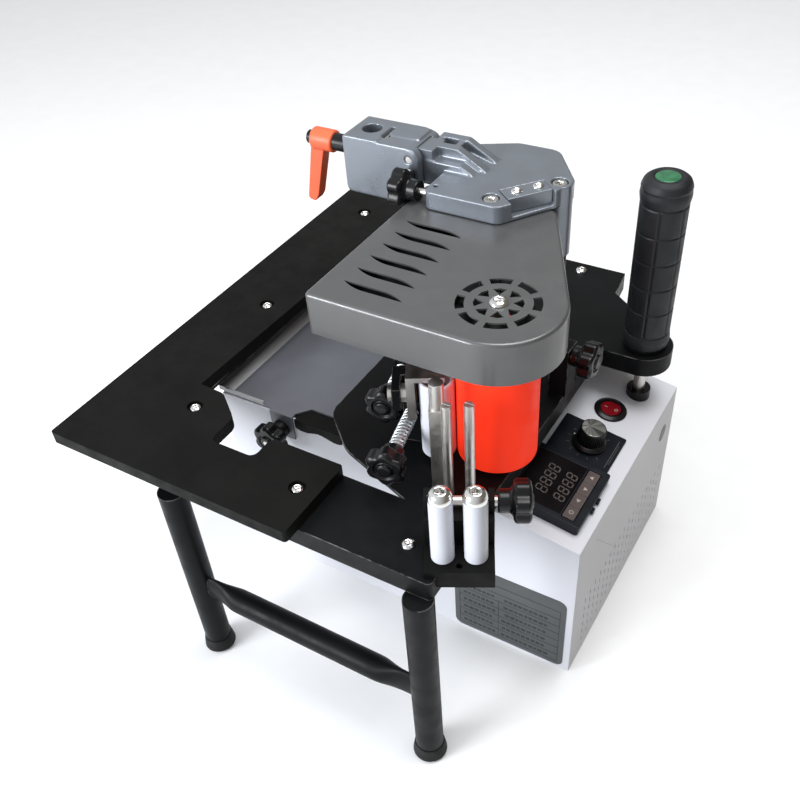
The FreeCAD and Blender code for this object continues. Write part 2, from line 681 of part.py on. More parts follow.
def make_head_cover():
    """Deep cover over the rollers: flat top, rounded nose about the feed roller, open below."""
    nose = [S["roller_across"] + S["cover_round"] * math.cos(math.radians(28)),
            S["roller_deep"] + S["cover_round"] * math.sin(math.radians(28))]
    slope = math.tan(math.radians(28))
    front = S["roller_deep"] - S["cover_round"]
    rear = 270
    corner_across = nose[0] + slope * (nose[1] - front)
    rear_across = nose[0] - slope * (rear - nose[1])
    points = [(190, front), (corner_across, front), (rear_across, rear), (189, rear)]
    cover = slab(points, COVER_BOTTOM, S["cover_wall"], {45.49: (1,), 7: (0,), 8: (2, 3)})
    hollow(cover, faces_at(cover.Shape, COVER_BOTTOM.number), S["cover_sheet"])
    above = COVER_UNDER - 1
    deep = S["cover_sheet"] + 2
    slots = [box((207, 119 + 17.2 * index, above), (48, 3.6, deep), Rotation(UP, -3.5))
             for index in range(6)]
    fan = []
    for radius, wide, deep_by in ((12, 5, 4.5), (20.5, 9.5, 4)):
        for index in range(8):
            angle = 45 * index + 22.5
            spot = along((*ROLLER, above), heading(angle), radius)
            corner = along(along(spot, heading(angle), -deep_by / 2), heading(angle + 90), -wide / 2)
            fan.append(box(corner, (deep_by, wide, deep), Rotation(UP, angle)))
    holes = [rod((*ROLLER, above), 2.6, deep), rod((*COVER_SCREW_SPOTS[0], above), 4, deep)]
    part(cut(cover, *slots, *fan, *holes), "head_cover")


def make_head_bracket():
    bottom, top = S["bracket_bottom"], S["bracket_top"]
    thick = top - bottom
    plate = slab([(206, 231.5), (268.8, 232.7), (293, 269), (300, 293), (265, 331), (237, 331),
                  (206, 316)], bottom, thick, {6: (0, 1, 3, 4, 5, 6)})
    boss = rod((*COVER_SCREW_SPOTS[1], 296), 10, bottom - 296)
    ribs = []
    rib_front, rib_back, rib_thick = 275, 292, 7
    rib_deep = rib_back + rib_thick - rib_front
    for y in (rib_front, rib_back):
        body = doc.addObject("PartDesign::Body", "rib")
        side = sketch_in(body, "XZ_Plane", -y)
        draw_polygon(side, [(191, bottom), (191, 369), (212, 369), (238, top - 1), (238, bottom)])
        pad = body.newObject("PartDesign::Pad", "pad")
        pad.Profile = side
        pad.Reversed = True
        bind(pad, Length=rib_thick)
        ribs.append(body)
    floor = box((191, rib_front, bottom), (20, rib_deep, thick))
    web = box((191, rib_front, bottom), (6, rib_deep, 24))
    pivot = (S["pivot_across"], 265.3, S["pivot_height"])
    tongue = fuse(box((179, 265.3, 352), (16, 21.4, 17)), rod(pivot, 9, 21.4, ALONG_Y),
                  box((186, 265.3, bottom), (8, 21.4, 20)))
    pivot_hole = rod((pivot[0], 250, pivot[2]), 3 + S["running_gap"], 60, ALONG_Y)
    bolt_holes = [rod((x, y, bottom - 50), 3.2, 90) for x, y in COVER_SCREW_SPOTS]
    sinks = [rod((x, y, top - 7), 6.2, 10) for x, y in COVER_SCREW_SPOTS]
    stud_hole = rod((200, 240.5, 349), S["stud_radius"], 14.5, ALONG_X)
    solid = fuse(plate, boss, *ribs, floor, web, tongue)
    part(cut(solid, pivot_hole, *bolt_holes, *sinks, stud_hole), "head_bracket")
    bolts = [cut(fuse(rod((x, y, top - 7), 5.5, 6), rod((x, y, low), 3, top - 7 - low)),
                 hexagon((x, y, top - 5), 3, 5))
             for (x, y), low in zip(COVER_SCREW_SPOTS, BOLT_ENDS)]
    cover_screw = button_screw((*ROLLER, S["cover_top"]), 5.5, 3, 2.5, 14)
    part(group(*bolts, cover_screw), "head_screws")
    inner = rod((*COVER_SCREW_SPOTS[0], PLATE_TOP), 9, COVER_UNDER - PLATE_TOP)
    outer = rod((*COVER_SCREW_SPOTS[1], PLATE_TOP), 8, 296 - PLATE_TOP)
    bores = [rod((x, y, low), 3, 60) for (x, y), low in zip(COVER_SCREW_SPOTS, BOLT_ENDS)]
    part(group(cut(inner, bores[0]), cut(outer, bores[1])), "head_pillars")


def make_clamp_block():
    left, front = S["block_left"], S["block_front"]
    deep = S["block_back"] - front
    low, tall = S["block_bottom"], S["block_top"] - S["block_bottom"]
    pivot_x, pivot_z = S["pivot_across"], S["pivot_height"]
    body = doc.addObject("PartDesign::Body", "block")
    side = sketch_in(body, "XZ_Plane", -front)
    end = pivot_x + 9
    draw_polygon(side, [(left, low), (end, low), (end, S["block_top"] - 5),
                        (end - 4, S["block_top"]), (left, S["block_top"])])
    pad = body.newObject("PartDesign::Pad", "pad")
    pad.Profile = side
    pad.Reversed = True
    bind(pad, Length=deep)
    yoke_room = box((166, front + 8, low - 1), (40, 22, tall + 2))
    reel_hole = rod((136, 277, low - 1), S["reel_bore"], tall + 2)
    pivot_hole = rod((pivot_x, front - 1, pivot_z), 3, deep + 2, ALONG_Y)
    lever_hole = rod((left - 1, 277, 354), 3, 8, ALONG_X)
    slot = box((150, 266, S["block_top"] - 6), (5, 18, 8))
    part(cut(body, yoke_room, reel_hole, pivot_hole, lever_hole, slot), "clamp_block")
    part(rod((pivot_x, front + 1, pivot_z), 3, deep - 2, ALONG_Y), "pivot_pin")

    hub_x, lever_y, lever_z = 78, 277, 354
    spacer = rod((hub_x + 21, lever_y, lever_z), 7, 21, ALONG_X)
    stud = rod((hub_x, lever_y, lever_z), 3, 46, ALONG_X)
    button = rod((hub_x - 5, lever_y, lever_z), 5.5, 5, ALONG_X)
    part(fuse(spacer, stud, button), "lever_insert")
    hub = rod((hub_x, lever_y, lever_z), 9, 21, ALONG_X)
    arm = box((hub_x - 1, lever_y - 5.5, 292), (11, 11, 58), Rotation(ALONG_Y, 4))
    bore = rod((hub_x - 5, lever_y, lever_z), 3 + S["running_gap"], 30, ALONG_X)
    part(cut(fuse(hub, arm), bore), "ratchet_lever")

    knob_foot = (198.5, 240.5, 349)
    part(star_knob(knob_foot, -ALONG_X, bore_deep=28), "rear_knob")
    return rod(along(knob_foot, ALONG_X, -26), S["stud_radius"], 42, ALONG_X)


# ---------------------------------------------------------------- right side and handle

def make_side_clamp():
    """Knob on the plate's right edge; returns its block and its stud."""
    block = box((316, 224, PLATE_TOP), (15, 16, 44))
    part(star_knob((331.2, 232, 246), ALONG_X, hub_long=8, bore_deep=20), "side_knob")
    stud = rod((316, 232, 246), S["stud_radius"], 35, ALONG_X)
    return cut(block, rod((316, 232, 246), S["stud_radius"], 15, ALONG_X)), stud


def make_handle():
    """Grip on a stud that passes the plate's ear and ends under the console."""
    x, y = S["handle_across"], S["handle_deep"]
    stud, washer_thick, stud_foot = S["handle_rod"], 5, 135
    part(rod((x, y, stud_foot), stud, S["grip_top"] - stud_foot), "handle_stud")
    washer = tube((x, y, PLATE_TOP), 17, stud, washer_thick)
    grip_foot = PLATE_TOP + washer_thick
    part(tube((x, y, grip_foot), S["grip_radius"], stud, S["grip_top"] - grip_foot), "handle_grip")
    part(cone((x, y, S["grip_top"]), S["grip_radius"], 16, 7), "handle_cap")
    bush = rod((x, y, 150), 10, 14)
    under = console_box(x, y, -30, (60, 60, 30))
    stud_room = rod((x, y, 140), stud, 40)
    part(group(washer, cut(bush, under, stud_room)), "handle_collars")


# ---------------------------------------------------------------- console

def make_console():
    width, deep, tall = CONTROLLER_SIZE
    bezel = console_box(*CONTROLLER, 0, CONTROLLER_SIZE)
    chassis = console_box(*CONTROLLER, -38, (54, 57, 38.5))
    pocket = along(console_spot(*CONTROLLER, 0), CONSOLE_DOWNHILL, KEY_DOWNHILL)
    key_low, key_size = tall - 3, (9, 11, 3)
    rooms = []
    for name, step in zip(("set", "shift", "down", "up"), (-1.5, -0.5, 0.5, 1.5)):
        middle = along(along(pocket, ALONG_Y, step * KEY_PITCH), CONSOLE_UP, key_low)
        corner = along(along(middle, CONSOLE_DOWNHILL, -key_size[0] / 2), ALONG_Y, -key_size[1] / 2)
        room_corner = along(along(along(corner, CONSOLE_DOWNHILL, -0.2), ALONG_Y, -0.2), CONSOLE_UP, -1)
        rooms.append(box(room_corner, (key_size[0] + 0.4, key_size[1] + 0.4, 6), ON_CONSOLE))
        part(box(corner, key_size, ON_CONSOLE), f"key_{name}")
    part(cut(fuse(bezel, chassis), *rooms), "temperature_controller")

    plate = console_box(*SPEED_PANEL, 0, (52, 46, 2))
    shaft = rod(console_spot(*SPEED_SHAFT, -22), 3, 34, CONSOLE_UP)
    potentiometer = rod(console_spot(*SPEED_SHAFT, -22), POTENTIOMETER_RADIUS, 20, CONSOLE_UP)
    part(fuse(plate, shaft, potentiometer), "speed_panel")
    knob = fuse(rod(console_spot(*SPEED_SHAFT, 2.4), 14, 4, CONSOLE_UP),
                rod(console_spot(*SPEED_SHAFT, 6), 10.5, 14, CONSOLE_UP))
    shaft_bore = rod(console_spot(*SPEED_SHAFT, 2), 3 + S["running_gap"], 12, CONSOLE_UP)
    part(cut(knob, shaft_bore), "speed_knob")

    bezel = fuse(rod(console_spot(*ROCKER, 0), 14, 2.5, CONSOLE_UP),
                 rod(console_spot(*ROCKER, -16), ROCKER_BARREL, 17, CONSOLE_UP))
    well = rod(console_spot(*ROCKER, -9), 9, 14, CONSOLE_UP)
    part(cut(bezel, well), "rocker_bezel")
    rocker_radius, pivot_reach = 8.4, 8.8
    rocker = rod(console_spot(*ROCKER, -1.5), rocker_radius, 5.5, CONSOLE_UP)
    pivot = rod(along(console_spot(*ROCKER, ROCKER_PIVOT), ALONG_Y, -pivot_reach), 1.2,
                2 * pivot_reach, ALONG_Y)
    part(fuse(rocker, pivot), "power_rocker")

    part(box((326, 160, 1.5), (50, 120, 38)), "power_supply")
    lip = 4
    well = box((INLET[0], S["chassis_back"] - 20, INLET[1]), (INLET_SIZE[0], 20, INLET_SIZE[1]))
    flange = box((INLET[0] - lip, S["chassis_back"], INLET[1] - lip),
                 (INLET_SIZE[0] + 2 * lip, 1.8, INLET_SIZE[1] + 2 * lip))
    part(fuse(well, flange), "mains_inlet")


def make_button_screws():
    """Screws sunk in the board, and screws that stand on the plate."""
    tall = 2.8
    sunk = [button_screw((x, y, S["board_top"] - SINK_DEEP), SCREW_HEAD, tall, SCREW_RADIUS, 12.8)
            for x, y in BOARD_SCREWS]
    standing = [button_screw((x, y, PLATE_TOP), SCREW_HEAD, tall, SCREW_RADIUS, 8)
                for x, y in PLATE_SCREWS]
    part(group(*sunk, *standing), "button_screws")


make_work_board()
make_base_plate()
make_leg_stand()
make_chassis()
tray_stud = make_tray()
make_standoffs()
make_feed_roller()
make_motor()
carriage_guide = make_pinch_roller()
side_block, side_stud = make_side_clamp()
adjuster_studs = make_adjusters(carriage_guide, side_block)
cross_rod = make_infeed()
make_head_cover()
make_head_bracket()
rear_stud = make_clamp_block()
make_handle()
make_console()
make_button_screws()
part(group(tray_stud, *adjuster_studs, cross_rod, rear_stud, side_stud), "knob_studs")
doc.recompute()

broken = [item.Name for item in doc.Objects if {"Invalid", "Error"} & set(item.State)]
if broken:
    raise SystemExit(f"objects that failed: {broken}")
for piece in parts:
    if piece.Shape.isNull() or not piece.Shape.isValid():
        raise SystemExit(f"{piece.Label} has no valid shape")
    piece.Shape.exportStep(f"parts/{piece.Label}.step")
print(len(parts), "pieces written")
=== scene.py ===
"""The looks of the portable edge banding machine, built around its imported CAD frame.

Pieces are modelled in plan millimetres: X from the work board's left end, Y from its front edge,
Z above the bench. finish_piece() moves them to the frame's own metres. Places come from the CAD
nodes' boxes and from the joints; detail sizes are named where they are used.
"""
import json
import math
import random

import bmesh
import bpy
from mathutils import Matrix, Vector


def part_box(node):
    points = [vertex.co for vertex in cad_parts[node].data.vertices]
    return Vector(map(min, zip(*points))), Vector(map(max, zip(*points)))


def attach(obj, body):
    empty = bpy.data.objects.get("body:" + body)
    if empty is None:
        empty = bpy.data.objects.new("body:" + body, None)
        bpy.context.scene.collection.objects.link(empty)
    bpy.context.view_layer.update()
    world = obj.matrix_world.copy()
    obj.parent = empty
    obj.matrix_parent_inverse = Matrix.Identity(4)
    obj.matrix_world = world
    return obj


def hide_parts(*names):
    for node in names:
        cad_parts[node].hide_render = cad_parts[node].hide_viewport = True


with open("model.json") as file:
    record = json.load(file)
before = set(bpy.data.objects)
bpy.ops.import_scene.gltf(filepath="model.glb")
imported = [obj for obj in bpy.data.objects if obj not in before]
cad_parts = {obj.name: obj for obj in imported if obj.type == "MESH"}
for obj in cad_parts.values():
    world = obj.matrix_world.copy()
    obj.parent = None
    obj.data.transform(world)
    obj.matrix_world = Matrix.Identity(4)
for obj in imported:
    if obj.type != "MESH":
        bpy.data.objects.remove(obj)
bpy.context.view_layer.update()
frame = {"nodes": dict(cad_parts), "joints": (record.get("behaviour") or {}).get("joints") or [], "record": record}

MM = 0.001
NODES = frame["nodes"]
JOINTS = {joint["name"]: joint for joint in frame["joints"]}
BODY_OF = {node: body for body, nodes in frame["record"]["behaviour"]["bodies"].items()
           for node in nodes}
SLOT_OF = {row["node"]: row["material_slot"] for row in frame["record"]["subparts"]}
BOARD_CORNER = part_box("work_board")[0]
CORNER = Vector((BOARD_CORNER.x, BOARD_CORNER.y, 0)) / MM
UP = Vector((0, 0, 1))
X, Y = Vector((1, 0, 0)), Vector((0, 1, 0))


# ---------------------------------------------------------------- reading the frame

def span(node):
    """Lowest and highest corner of a CAD node."""
    low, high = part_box(node)
    return low / MM - CORNER, high / MM - CORNER


def middle_of(box):
    return (box[0] + box[1]) / 2


def foot_of(box):
    """The middle of a box's underside."""
    middle = middle_of(box)
    return Vector((middle.x, middle.y, box[0].z))


def crown(box):
    """The middle of a box's top."""
    middle = middle_of(box)
    return Vector((middle.x, middle.y, box[1].z))


def radius_of(box):
    """Half a box's width, which is the radius of an upright round part."""
    return (box[1].x - box[0].x) / 2


def joint_line(name):
    """A joint's point and its direction."""
    joint = JOINTS[name]
    return Vector(joint["pos_m"]) / MM - CORNER, Vector(joint["axis"]).normalized()


def reach(node, origin, axis, within=1000):
    """First and last distance of a node along an axis, of its points near that axis."""
    found = []
    for vertex in NODES[node].data.vertices:
        step = vertex.co / MM - CORNER - origin
        far = step.dot(axis)
        if (step - axis * far).length < within:
            found.append(far)
    return min(found), max(found)


def solids(node):
    """The lowest and highest corner of each separate solid in a CAD node."""
    bm = bmesh.new()
    bm.from_mesh(NODES[node].data)
    bmesh.ops.remove_doubles(bm, verts=bm.verts, dist=1e-6)
    left, boxes = set(bm.verts), []
    while left:
        start = min(left, key=lambda vertex: vertex.index)
        island, edge = {start}, [start]
        while edge:
            for link in edge.pop().link_edges:
                for vertex in link.verts:
                    if vertex not in island:
                        island.add(vertex)
                        edge.append(vertex)
        left -= island
        places = [vertex.co / MM - CORNER for vertex in island]
        boxes.append((Vector(min(p[i] for p in places) for i in range(3)),
                      Vector(max(p[i] for p in places) for i in range(3))))
    bm.free()
    return boxes


# ---------------------------------------------------------------- mesh tools

def basis(axis):
    """Rotation that turns Z onto an axis."""
    return axis.to_track_quat("Z", "Y").to_matrix()


def merged(*parts):
    """Several meshes as one, with each solid kept apart."""
    bm = bmesh.new()
    for part in parts:
        mesh = bpy.data.meshes.new("part")
        part.to_mesh(mesh)
        part.free()
        bm.from_mesh(mesh)
        bpy.data.meshes.remove(mesh)
    return bm


def moved(bm, matrix):
    bmesh.ops.transform(bm, matrix=matrix, verts=bm.verts)
    return bm


def polar(radius, angle, far=0):
    """A point at a radius and an angle about Z."""
    return Vector((radius * math.cos(angle), radius * math.sin(angle), far))


def lofted(rings, loop=False, capped=False):
    """A skin over successive rings of points; a ring of one point is a tip."""
    bm = bmesh.new()
    rings = [[bm.verts.new(spot) for spot in ring] for ring in rings]
    count = max(len(ring) for ring in rings)
    for low, high in zip(rings, rings[1:] + rings[:1] if loop else rings[1:]):
        for step in range(count):
            corners = [ring[(step + after) % len(ring)]
                       for ring, after in ((low, 0), (low, 1), (high, 1), (high, 0))]
            bm.faces.new(list(dict.fromkeys(corners)))
    if capped:
        bm.faces.new(rings[0])
        bm.faces.new(rings[-1])
    bmesh.ops.recalc_face_normals(bm, faces=bm.faces)
    return bm


def block(low, high):
    """A box between two corners."""
    low, high = Vector(low), Vector(high)
    bm = bmesh.new()
    bmesh.ops.create_cube(bm, size=1)
    scale = Matrix.Diagonal((*(high - low), 1))
    return moved(bm, Matrix.Translation((low + high) / 2) @ scale)


def rounded(corners, steps=8):
    """A closed outline from (x, y, radius) corners; each radius becomes an arc."""
    outline, count = [], len(corners)
    for index, (x, y, radius) in enumerate(corners):
        here = Vector((x, y))
        back = (Vector(corners[index - 1][:2]) - here).normalized()
        ahead = (Vector(corners[(index + 1) % count][:2]) - here).normalized()
        if not radius:
            outline.append(here)
            continue
        half = back.angle(ahead) / 2
        centre = here + (back + ahead).normalized() * radius / math.sin(half)
        first = here + back * radius / math.tan(half) - centre
        turn = first.angle_signed(here + ahead * radius / math.tan(half) - centre)
        for step in range(steps + 1):
            outline.append(centre + Matrix.Rotation(-turn * step / steps, 2) @ first)
    return outline


def oblong(left, front, right, back, radii, steps=8):
    """A rounded rectangle; its four radii start at the left front corner."""
    corners = (left, front), (right, front), (right, back), (left, back)
    return rounded([(*corner, radius) for corner, radius in zip(corners, radii)], steps)


def prism(outline, low, high):
    """A closed solid between two heights from a level outline."""
    bm = bmesh.new()
    face = bm.faces.new([bm.verts.new((x, y, low)) for x, y in outline])
    grown = bmesh.ops.extrude_face_region(bm, geom=[face])["geom"]
    tops = [item for item in grown if isinstance(item, bmesh.types.BMVert)]
    bmesh.ops.translate(bm, verts=tops, vec=(0, 0, high - low))
    bmesh.ops.recalc_face_normals(bm, faces=bm.faces)
    return bm


def side_prism(outline, front, back):
    """A closed solid from an (x, z) outline, between two depths."""
    upright = Matrix(((1, 0, 0, 0), (0, 0, -1, 0), (0, 1, 0, 0), (0, 0, 0, 1)))
    return moved(prism(outline, -back, -front), upright)


def eased(profile, radius=0.6, steps=3):
    """A profile with its inner corners rounded; rows are (along, radius, weight)."""
    rows = [Vector((*row, 0)[:3]) for row in profile]
    smooth = [rows[0]]
    for before, here, after in zip(rows, rows[1:], rows[2:]):
        reach_back = min(radius, (before - here).length * 0.45)
        reach_on = min(radius, (after - here).length * 0.45)
        start = here + (before - here).normalized() * reach_back
        end = here + (after - here).normalized() * reach_on
        for step in range(steps + 1):
            share = step / steps
            smooth.append(start.lerp(here, share).lerp(here.lerp(end, share), share))
    return smooth + [rows[-1]]


def round_form(angle):
    return 1


def star_form(angle):
    return 1 - 0.18 * ((1 + math.cos(6 * angle)) / 2) ** 1.4


def hex_form(angle):
    return math.cos(math.pi / 6) / math.cos(angle % (math.pi / 3) - math.pi / 6)


def turned(profile, start, axis=UP, form=round_form, count=64, loop=False):
    """A turned solid; rows are (along, radius, weight of the form), from foot to top."""
    frame_at = Matrix.Translation(start) @ basis(axis).to_4x4()
    rings = []
    for row in profile:
        far, radius, weight = (*row, 0)[:3]
        if radius < 1e-6:
            rings.append([frame_at @ Vector((0, 0, far))])
            continue
        angles = [2 * math.pi * step / count for step in range(count)]
        rings.append([frame_at @ polar(radius * (1 - weight + weight * form(angle)), angle, far)
                      for angle in angles])
    return lofted(rings, loop)


def rod(start, radius, length, axis=UP, edge=0.5, count=48):
    """A plain turned rod with rounded ends."""
    profile = eased([(0, 0), (0, radius), (length, radius), (length, 0)], edge)
    return turned(profile, start, axis, count=count)


def swept(path, radius, sides=10):
    """A round wire along a path."""
    rings, side = [], None
    for index, spot in enumerate(path):
        ahead = path[min(index + 1, len(path) - 1)] - path[max(index - 1, 0)]
        ahead.normalize()
        side = ahead.orthogonal() if side is None else side - ahead * side.dot(ahead)
        side.normalize()
        lift = ahead.cross(side)
        angles = [2 * math.pi * k / sides for k in range(sides)]
        rings.append([spot + radius * (side * math.cos(angle) + lift * math.sin(angle))
                      for angle in angles])
    return lofted(rings, capped=True)


def as_object(bm):
    mesh = bpy.data.meshes.new("work")
    bm.to_mesh(mesh)
    bm.free()
    obj = bpy.data.objects.new("work", mesh)
    bpy.context.scene.collection.objects.link(obj)
    return obj


def applied(obj):
    """The object's mesh with its modifiers, and the object removed."""
    depsgraph = bpy.context.evaluated_depsgraph_get()
    mesh = bpy.data.meshes.new_from_object(obj.evaluated_get(depsgraph), depsgraph=depsgraph)
    bm = bmesh.new()
    bm.from_mesh(mesh)
    bpy.data.meshes.remove(mesh)
    bpy.data.objects.remove(obj)
    return bm


def combined(base, others, operation):
    """A base joined with, or cut by, the others."""
    obj, tool = as_object(base), as_object(merged(*others))
    step = obj.modifiers.new("combine", "BOOLEAN")
    step.operation, step.solver, step.object, step.use_self = operation, "EXACT", tool, True
    result = applied(obj)
    bpy.data.objects.remove(tool)
    return result


def carved(base, *tools):
    return combined(base, tools, "DIFFERENCE")


def joined(base, *others):
    return combined(base, others, "UNION")


def softened(bm, width, segments=3, least=28):
    """Rounds the edges that turn by more than `least` degrees."""
    bmesh.ops.dissolve_limit(bm, angle_limit=math.radians(0.5), verts=bm.verts, edges=bm.edges)
    edges = [edge for edge in bm.edges if len(edge.link_faces) == 2
             and edge.calc_face_angle(0) > math.radians(least)]
    bmesh.ops.bevel(bm, geom=edges, offset=width, segments=segments, profile=0.5,
                    affect="EDGES", clamp_overlap=True)
    return bm


def cast(base, grain=0.8, passes=5):
    """A casting: the same solid with every edge worn round."""
    obj = as_object(base)
    remesh = obj.modifiers.new("cast", "REMESH")
    remesh.mode, remesh.voxel_size = "VOXEL", grain
    smooth = obj.modifiers.new("smooth", "SMOOTH")
    smooth.factor, smooth.iterations = 0.5, passes
    return applied(obj)


def finish_piece(name, bm, paint, like=None, stands_for=(), sharp=35, level=True):
    """Puts a mesh into the scene as a piece that rides with the CAD node it is like.

    Level pieces keep their flat faces flat; cast ones are shaded as one skin.
    """
    like = like or stands_for[0]
    bmesh.ops.recalc_face_normals(bm, faces=bm.faces)
    moved(bm, Matrix.Scale(MM, 4) @ Matrix.Translation(CORNER))
    mesh = bpy.data.meshes.new(name)
    bm.to_mesh(mesh)
    bm.free()
    mesh.polygons.foreach_set("use_smooth", [True] * len(mesh.polygons))
    mesh.set_sharp_from_angle(angle=math.radians(sharp))
    mesh.materials.append(PAINT[paint])
    obj = bpy.data.objects.new(name, mesh)
    bpy.context.scene.collection.objects.link(obj)
    if level:
        obj.modifiers.new("level", "WEIGHTED_NORMAL").keep_sharp = True
    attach(obj, BODY_OF[like])
    if stands_for:
        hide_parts(*stands_for)
    return obj


def dress(node, paint, edge, flat):
    """Gives a CAD node its material and fine rounded edges; a flat one is all sheet metal."""
    obj = NODES[node]
    mesh = obj.data
    if "custom_normal" in mesh.attributes:
        mesh.attributes.remove(mesh.attributes["custom_normal"])
    mesh.polygons.foreach_set("use_smooth", [not flat] * len(mesh.polygons))
    for slot in obj.material_slots:
        slot.material = PAINT[paint]
    if not obj.material_slots:
        mesh.materials.append(PAINT[paint])
    weld = obj.modifiers.new("weld", "WELD")
    weld.merge_threshold = 1e-6
    if not flat:
        plain = obj.modifiers.new("plain", "DECIMATE")
        plain.decimate_type, plain.angle_limit = "DISSOLVE", math.radians(0.5)
    bevel = obj.modifiers.new("edge", "BEVEL")
    bevel.width, bevel.segments, bevel.angle_limit = edge * MM, 2, math.radians(30)
    bevel.harden_normals = not flat


# ---------------------------------------------------------------- materials

class Nodes:
    """A material's node tree with short calls to add and link its nodes."""

    def __init__(self, name):
        self.material = bpy.data.materials.new(name)
        self.material.use_nodes = True
        self.tree = self.material.node_tree
        self.shader = self.tree.nodes["Principled BSDF"]
        self.place = self.add("ShaderNodeTexCoord").outputs["Object"]

    def add(self, kind, **settings):
        node = self.tree.nodes.new(kind)
        for key, value in settings.items():
            setattr(node, key, value)
        return node

    def link(self, source, target):
        self.tree.links.new(source, target)

    def noise(self, scale, detail=3, stretch=None):
        """Noise between 0 and 1; scale counts features per metre."""
        node = self.add("ShaderNodeTexNoise")
        node.inputs["Scale"].default_value = scale
        node.inputs["Detail"].default_value = detail
        place = self.place
        if stretch:
            mapping = self.add("ShaderNodeMapping")
            mapping.inputs["Scale"].default_value = stretch
            self.link(place, mapping.inputs["Vector"])
            place = mapping.outputs["Vector"]
        self.link(place, node.inputs["Vector"])
        return node.outputs["Fac"]

    def spread(self, value, low, high, least=0.35, most=0.65):
        """Maps a value's middle range onto low to high."""
        node = self.add("ShaderNodeMapRange")
        for name, number in (("From Min", least), ("From Max", most),
                             ("To Min", low), ("To Max", high)):
            node.inputs[name].default_value = number
        self.link(value, node.inputs["Value"])
        return node.outputs["Result"]

    def mix(self, share, first, second):
        """A colour between two colours."""
        node = self.add("ShaderNodeMix", data_type="RGBA")
        self.link(share, node.inputs["Factor"])
        for name, colour in (("A", first), ("B", second)):
            socket = next(s for s in node.inputs if s.name == name and s.type == "RGBA")
            if isinstance(colour, bpy.types.NodeSocket):
                self.link(colour, socket)
            else:
                socket.default_value = (*colour, 1)
        return next(s for s in node.outputs if s.type == "RGBA")

    def set(self, name, value):
        """Sets an input of the shader to a number, a colour or another node's output."""
        socket = self.shader.inputs[name]
        if isinstance(value, bpy.types.NodeSocket):
            self.link(value, socket)
        elif isinstance(value, tuple):
            socket.default_value = (*value, 1)
        else:
            socket.default_value = value

    def bump(self, height, strength, distance):
        node = self.add("ShaderNodeBump")
        node.inputs["Strength"].default_value = strength
        node.inputs["Distance"].default_value = distance
        self.link(height, node.inputs["Height"])
        self.link(node.outputs["Normal"], self.shader.inputs["Normal"])

    def edges(self, radius, least=0.004, most=0.05):
        """1 along edges and 0 on flats, from the bent normal."""
        bevel = self.add("ShaderNodeBevel", samples=6)
        bevel.inputs["Radius"].default_value = radius
        normal = self.add("ShaderNodeNewGeometry").outputs["Normal"]
        dot = self.add("ShaderNodeVectorMath", operation="DOT_PRODUCT")
        self.link(bevel.outputs["Normal"], dot.inputs[0])
        self.link(normal, dot.inputs[1])
        away = self.add("ShaderNodeMath", operation="SUBTRACT")
        away.inputs[0].default_value = 1
        self.link(dot.outputs["Value"], away.inputs[1])
        return self.spread(away.outputs[0], 0, 1, least, most)


def shade(colour, factor):
    return tuple(min(1, channel * factor) for channel in colour)


def coating(name, colour, rough, vary, grain=900, relief=0, metal=0, coat=0, worn=None, patch=25,
            glow=0.5, uneven=0.18, painted_light=0):
    """Paint or plastic: blotchy colour, fine relief, uneven gloss and, if asked, worn edges.

    `patch` counts blotches per metre and `uneven` is how far the gloss strays. `glow` is the
    specular level; the emission strength is painted light, a glow in the colour of a part
    that is no lamp.
    """
    nodes = Nodes(name)
    blotch = nodes.noise(patch, 5)
    base = nodes.mix(nodes.spread(blotch, 0, 1), shade(colour, 1 - vary), shade(colour, 1 + vary))
    if worn:
        scratches_per_metre, rim_width = 90, 0.0011
        scratch = nodes.spread(nodes.noise(scratches_per_metre, 6), 0, 1, 0.42, 0.6)
        rim = nodes.add("ShaderNodeMath", operation="MULTIPLY")
        nodes.link(nodes.edges(rim_width), rim.inputs[0])
        nodes.link(scratch, rim.inputs[1])
        base = nodes.mix(rim.outputs[0], base, worn)
    nodes.set("Base Color", base)
    gloss = nodes.noise(patch * 3, 6)
    nodes.set("Roughness", nodes.spread(gloss, rough * (1 - uneven), rough * (1 + uneven)))
    nodes.set("Metallic", metal)
    nodes.set("Coat Weight", coat)
    nodes.set("Specular IOR Level", glow)
    # emission paints extra light into the colour, so a part glows though it is no lamp
    nodes.set("Emission Color", colour)
    nodes.set("Emission Strength", painted_light)
    if relief:
        nodes.bump(nodes.noise(grain, 3), relief, 0.0002)
    return nodes.material


def steel(name, colour, rough, stretch, relief):
    """Bare metal with turning marks along one direction."""
    nodes = Nodes(name)
    marks = nodes.noise(6, 4, stretch)
    nodes.set("Base Color", nodes.mix(nodes.spread(marks, 0, 1), shade(colour, 0.92), colour))
    nodes.set("Metallic", 1.0)
    nodes.set("Roughness", nodes.spread(nodes.noise(120, 5), rough * 0.85, rough * 1.2))
    nodes.bump(marks, relief, 0.00004)
    return nodes.material


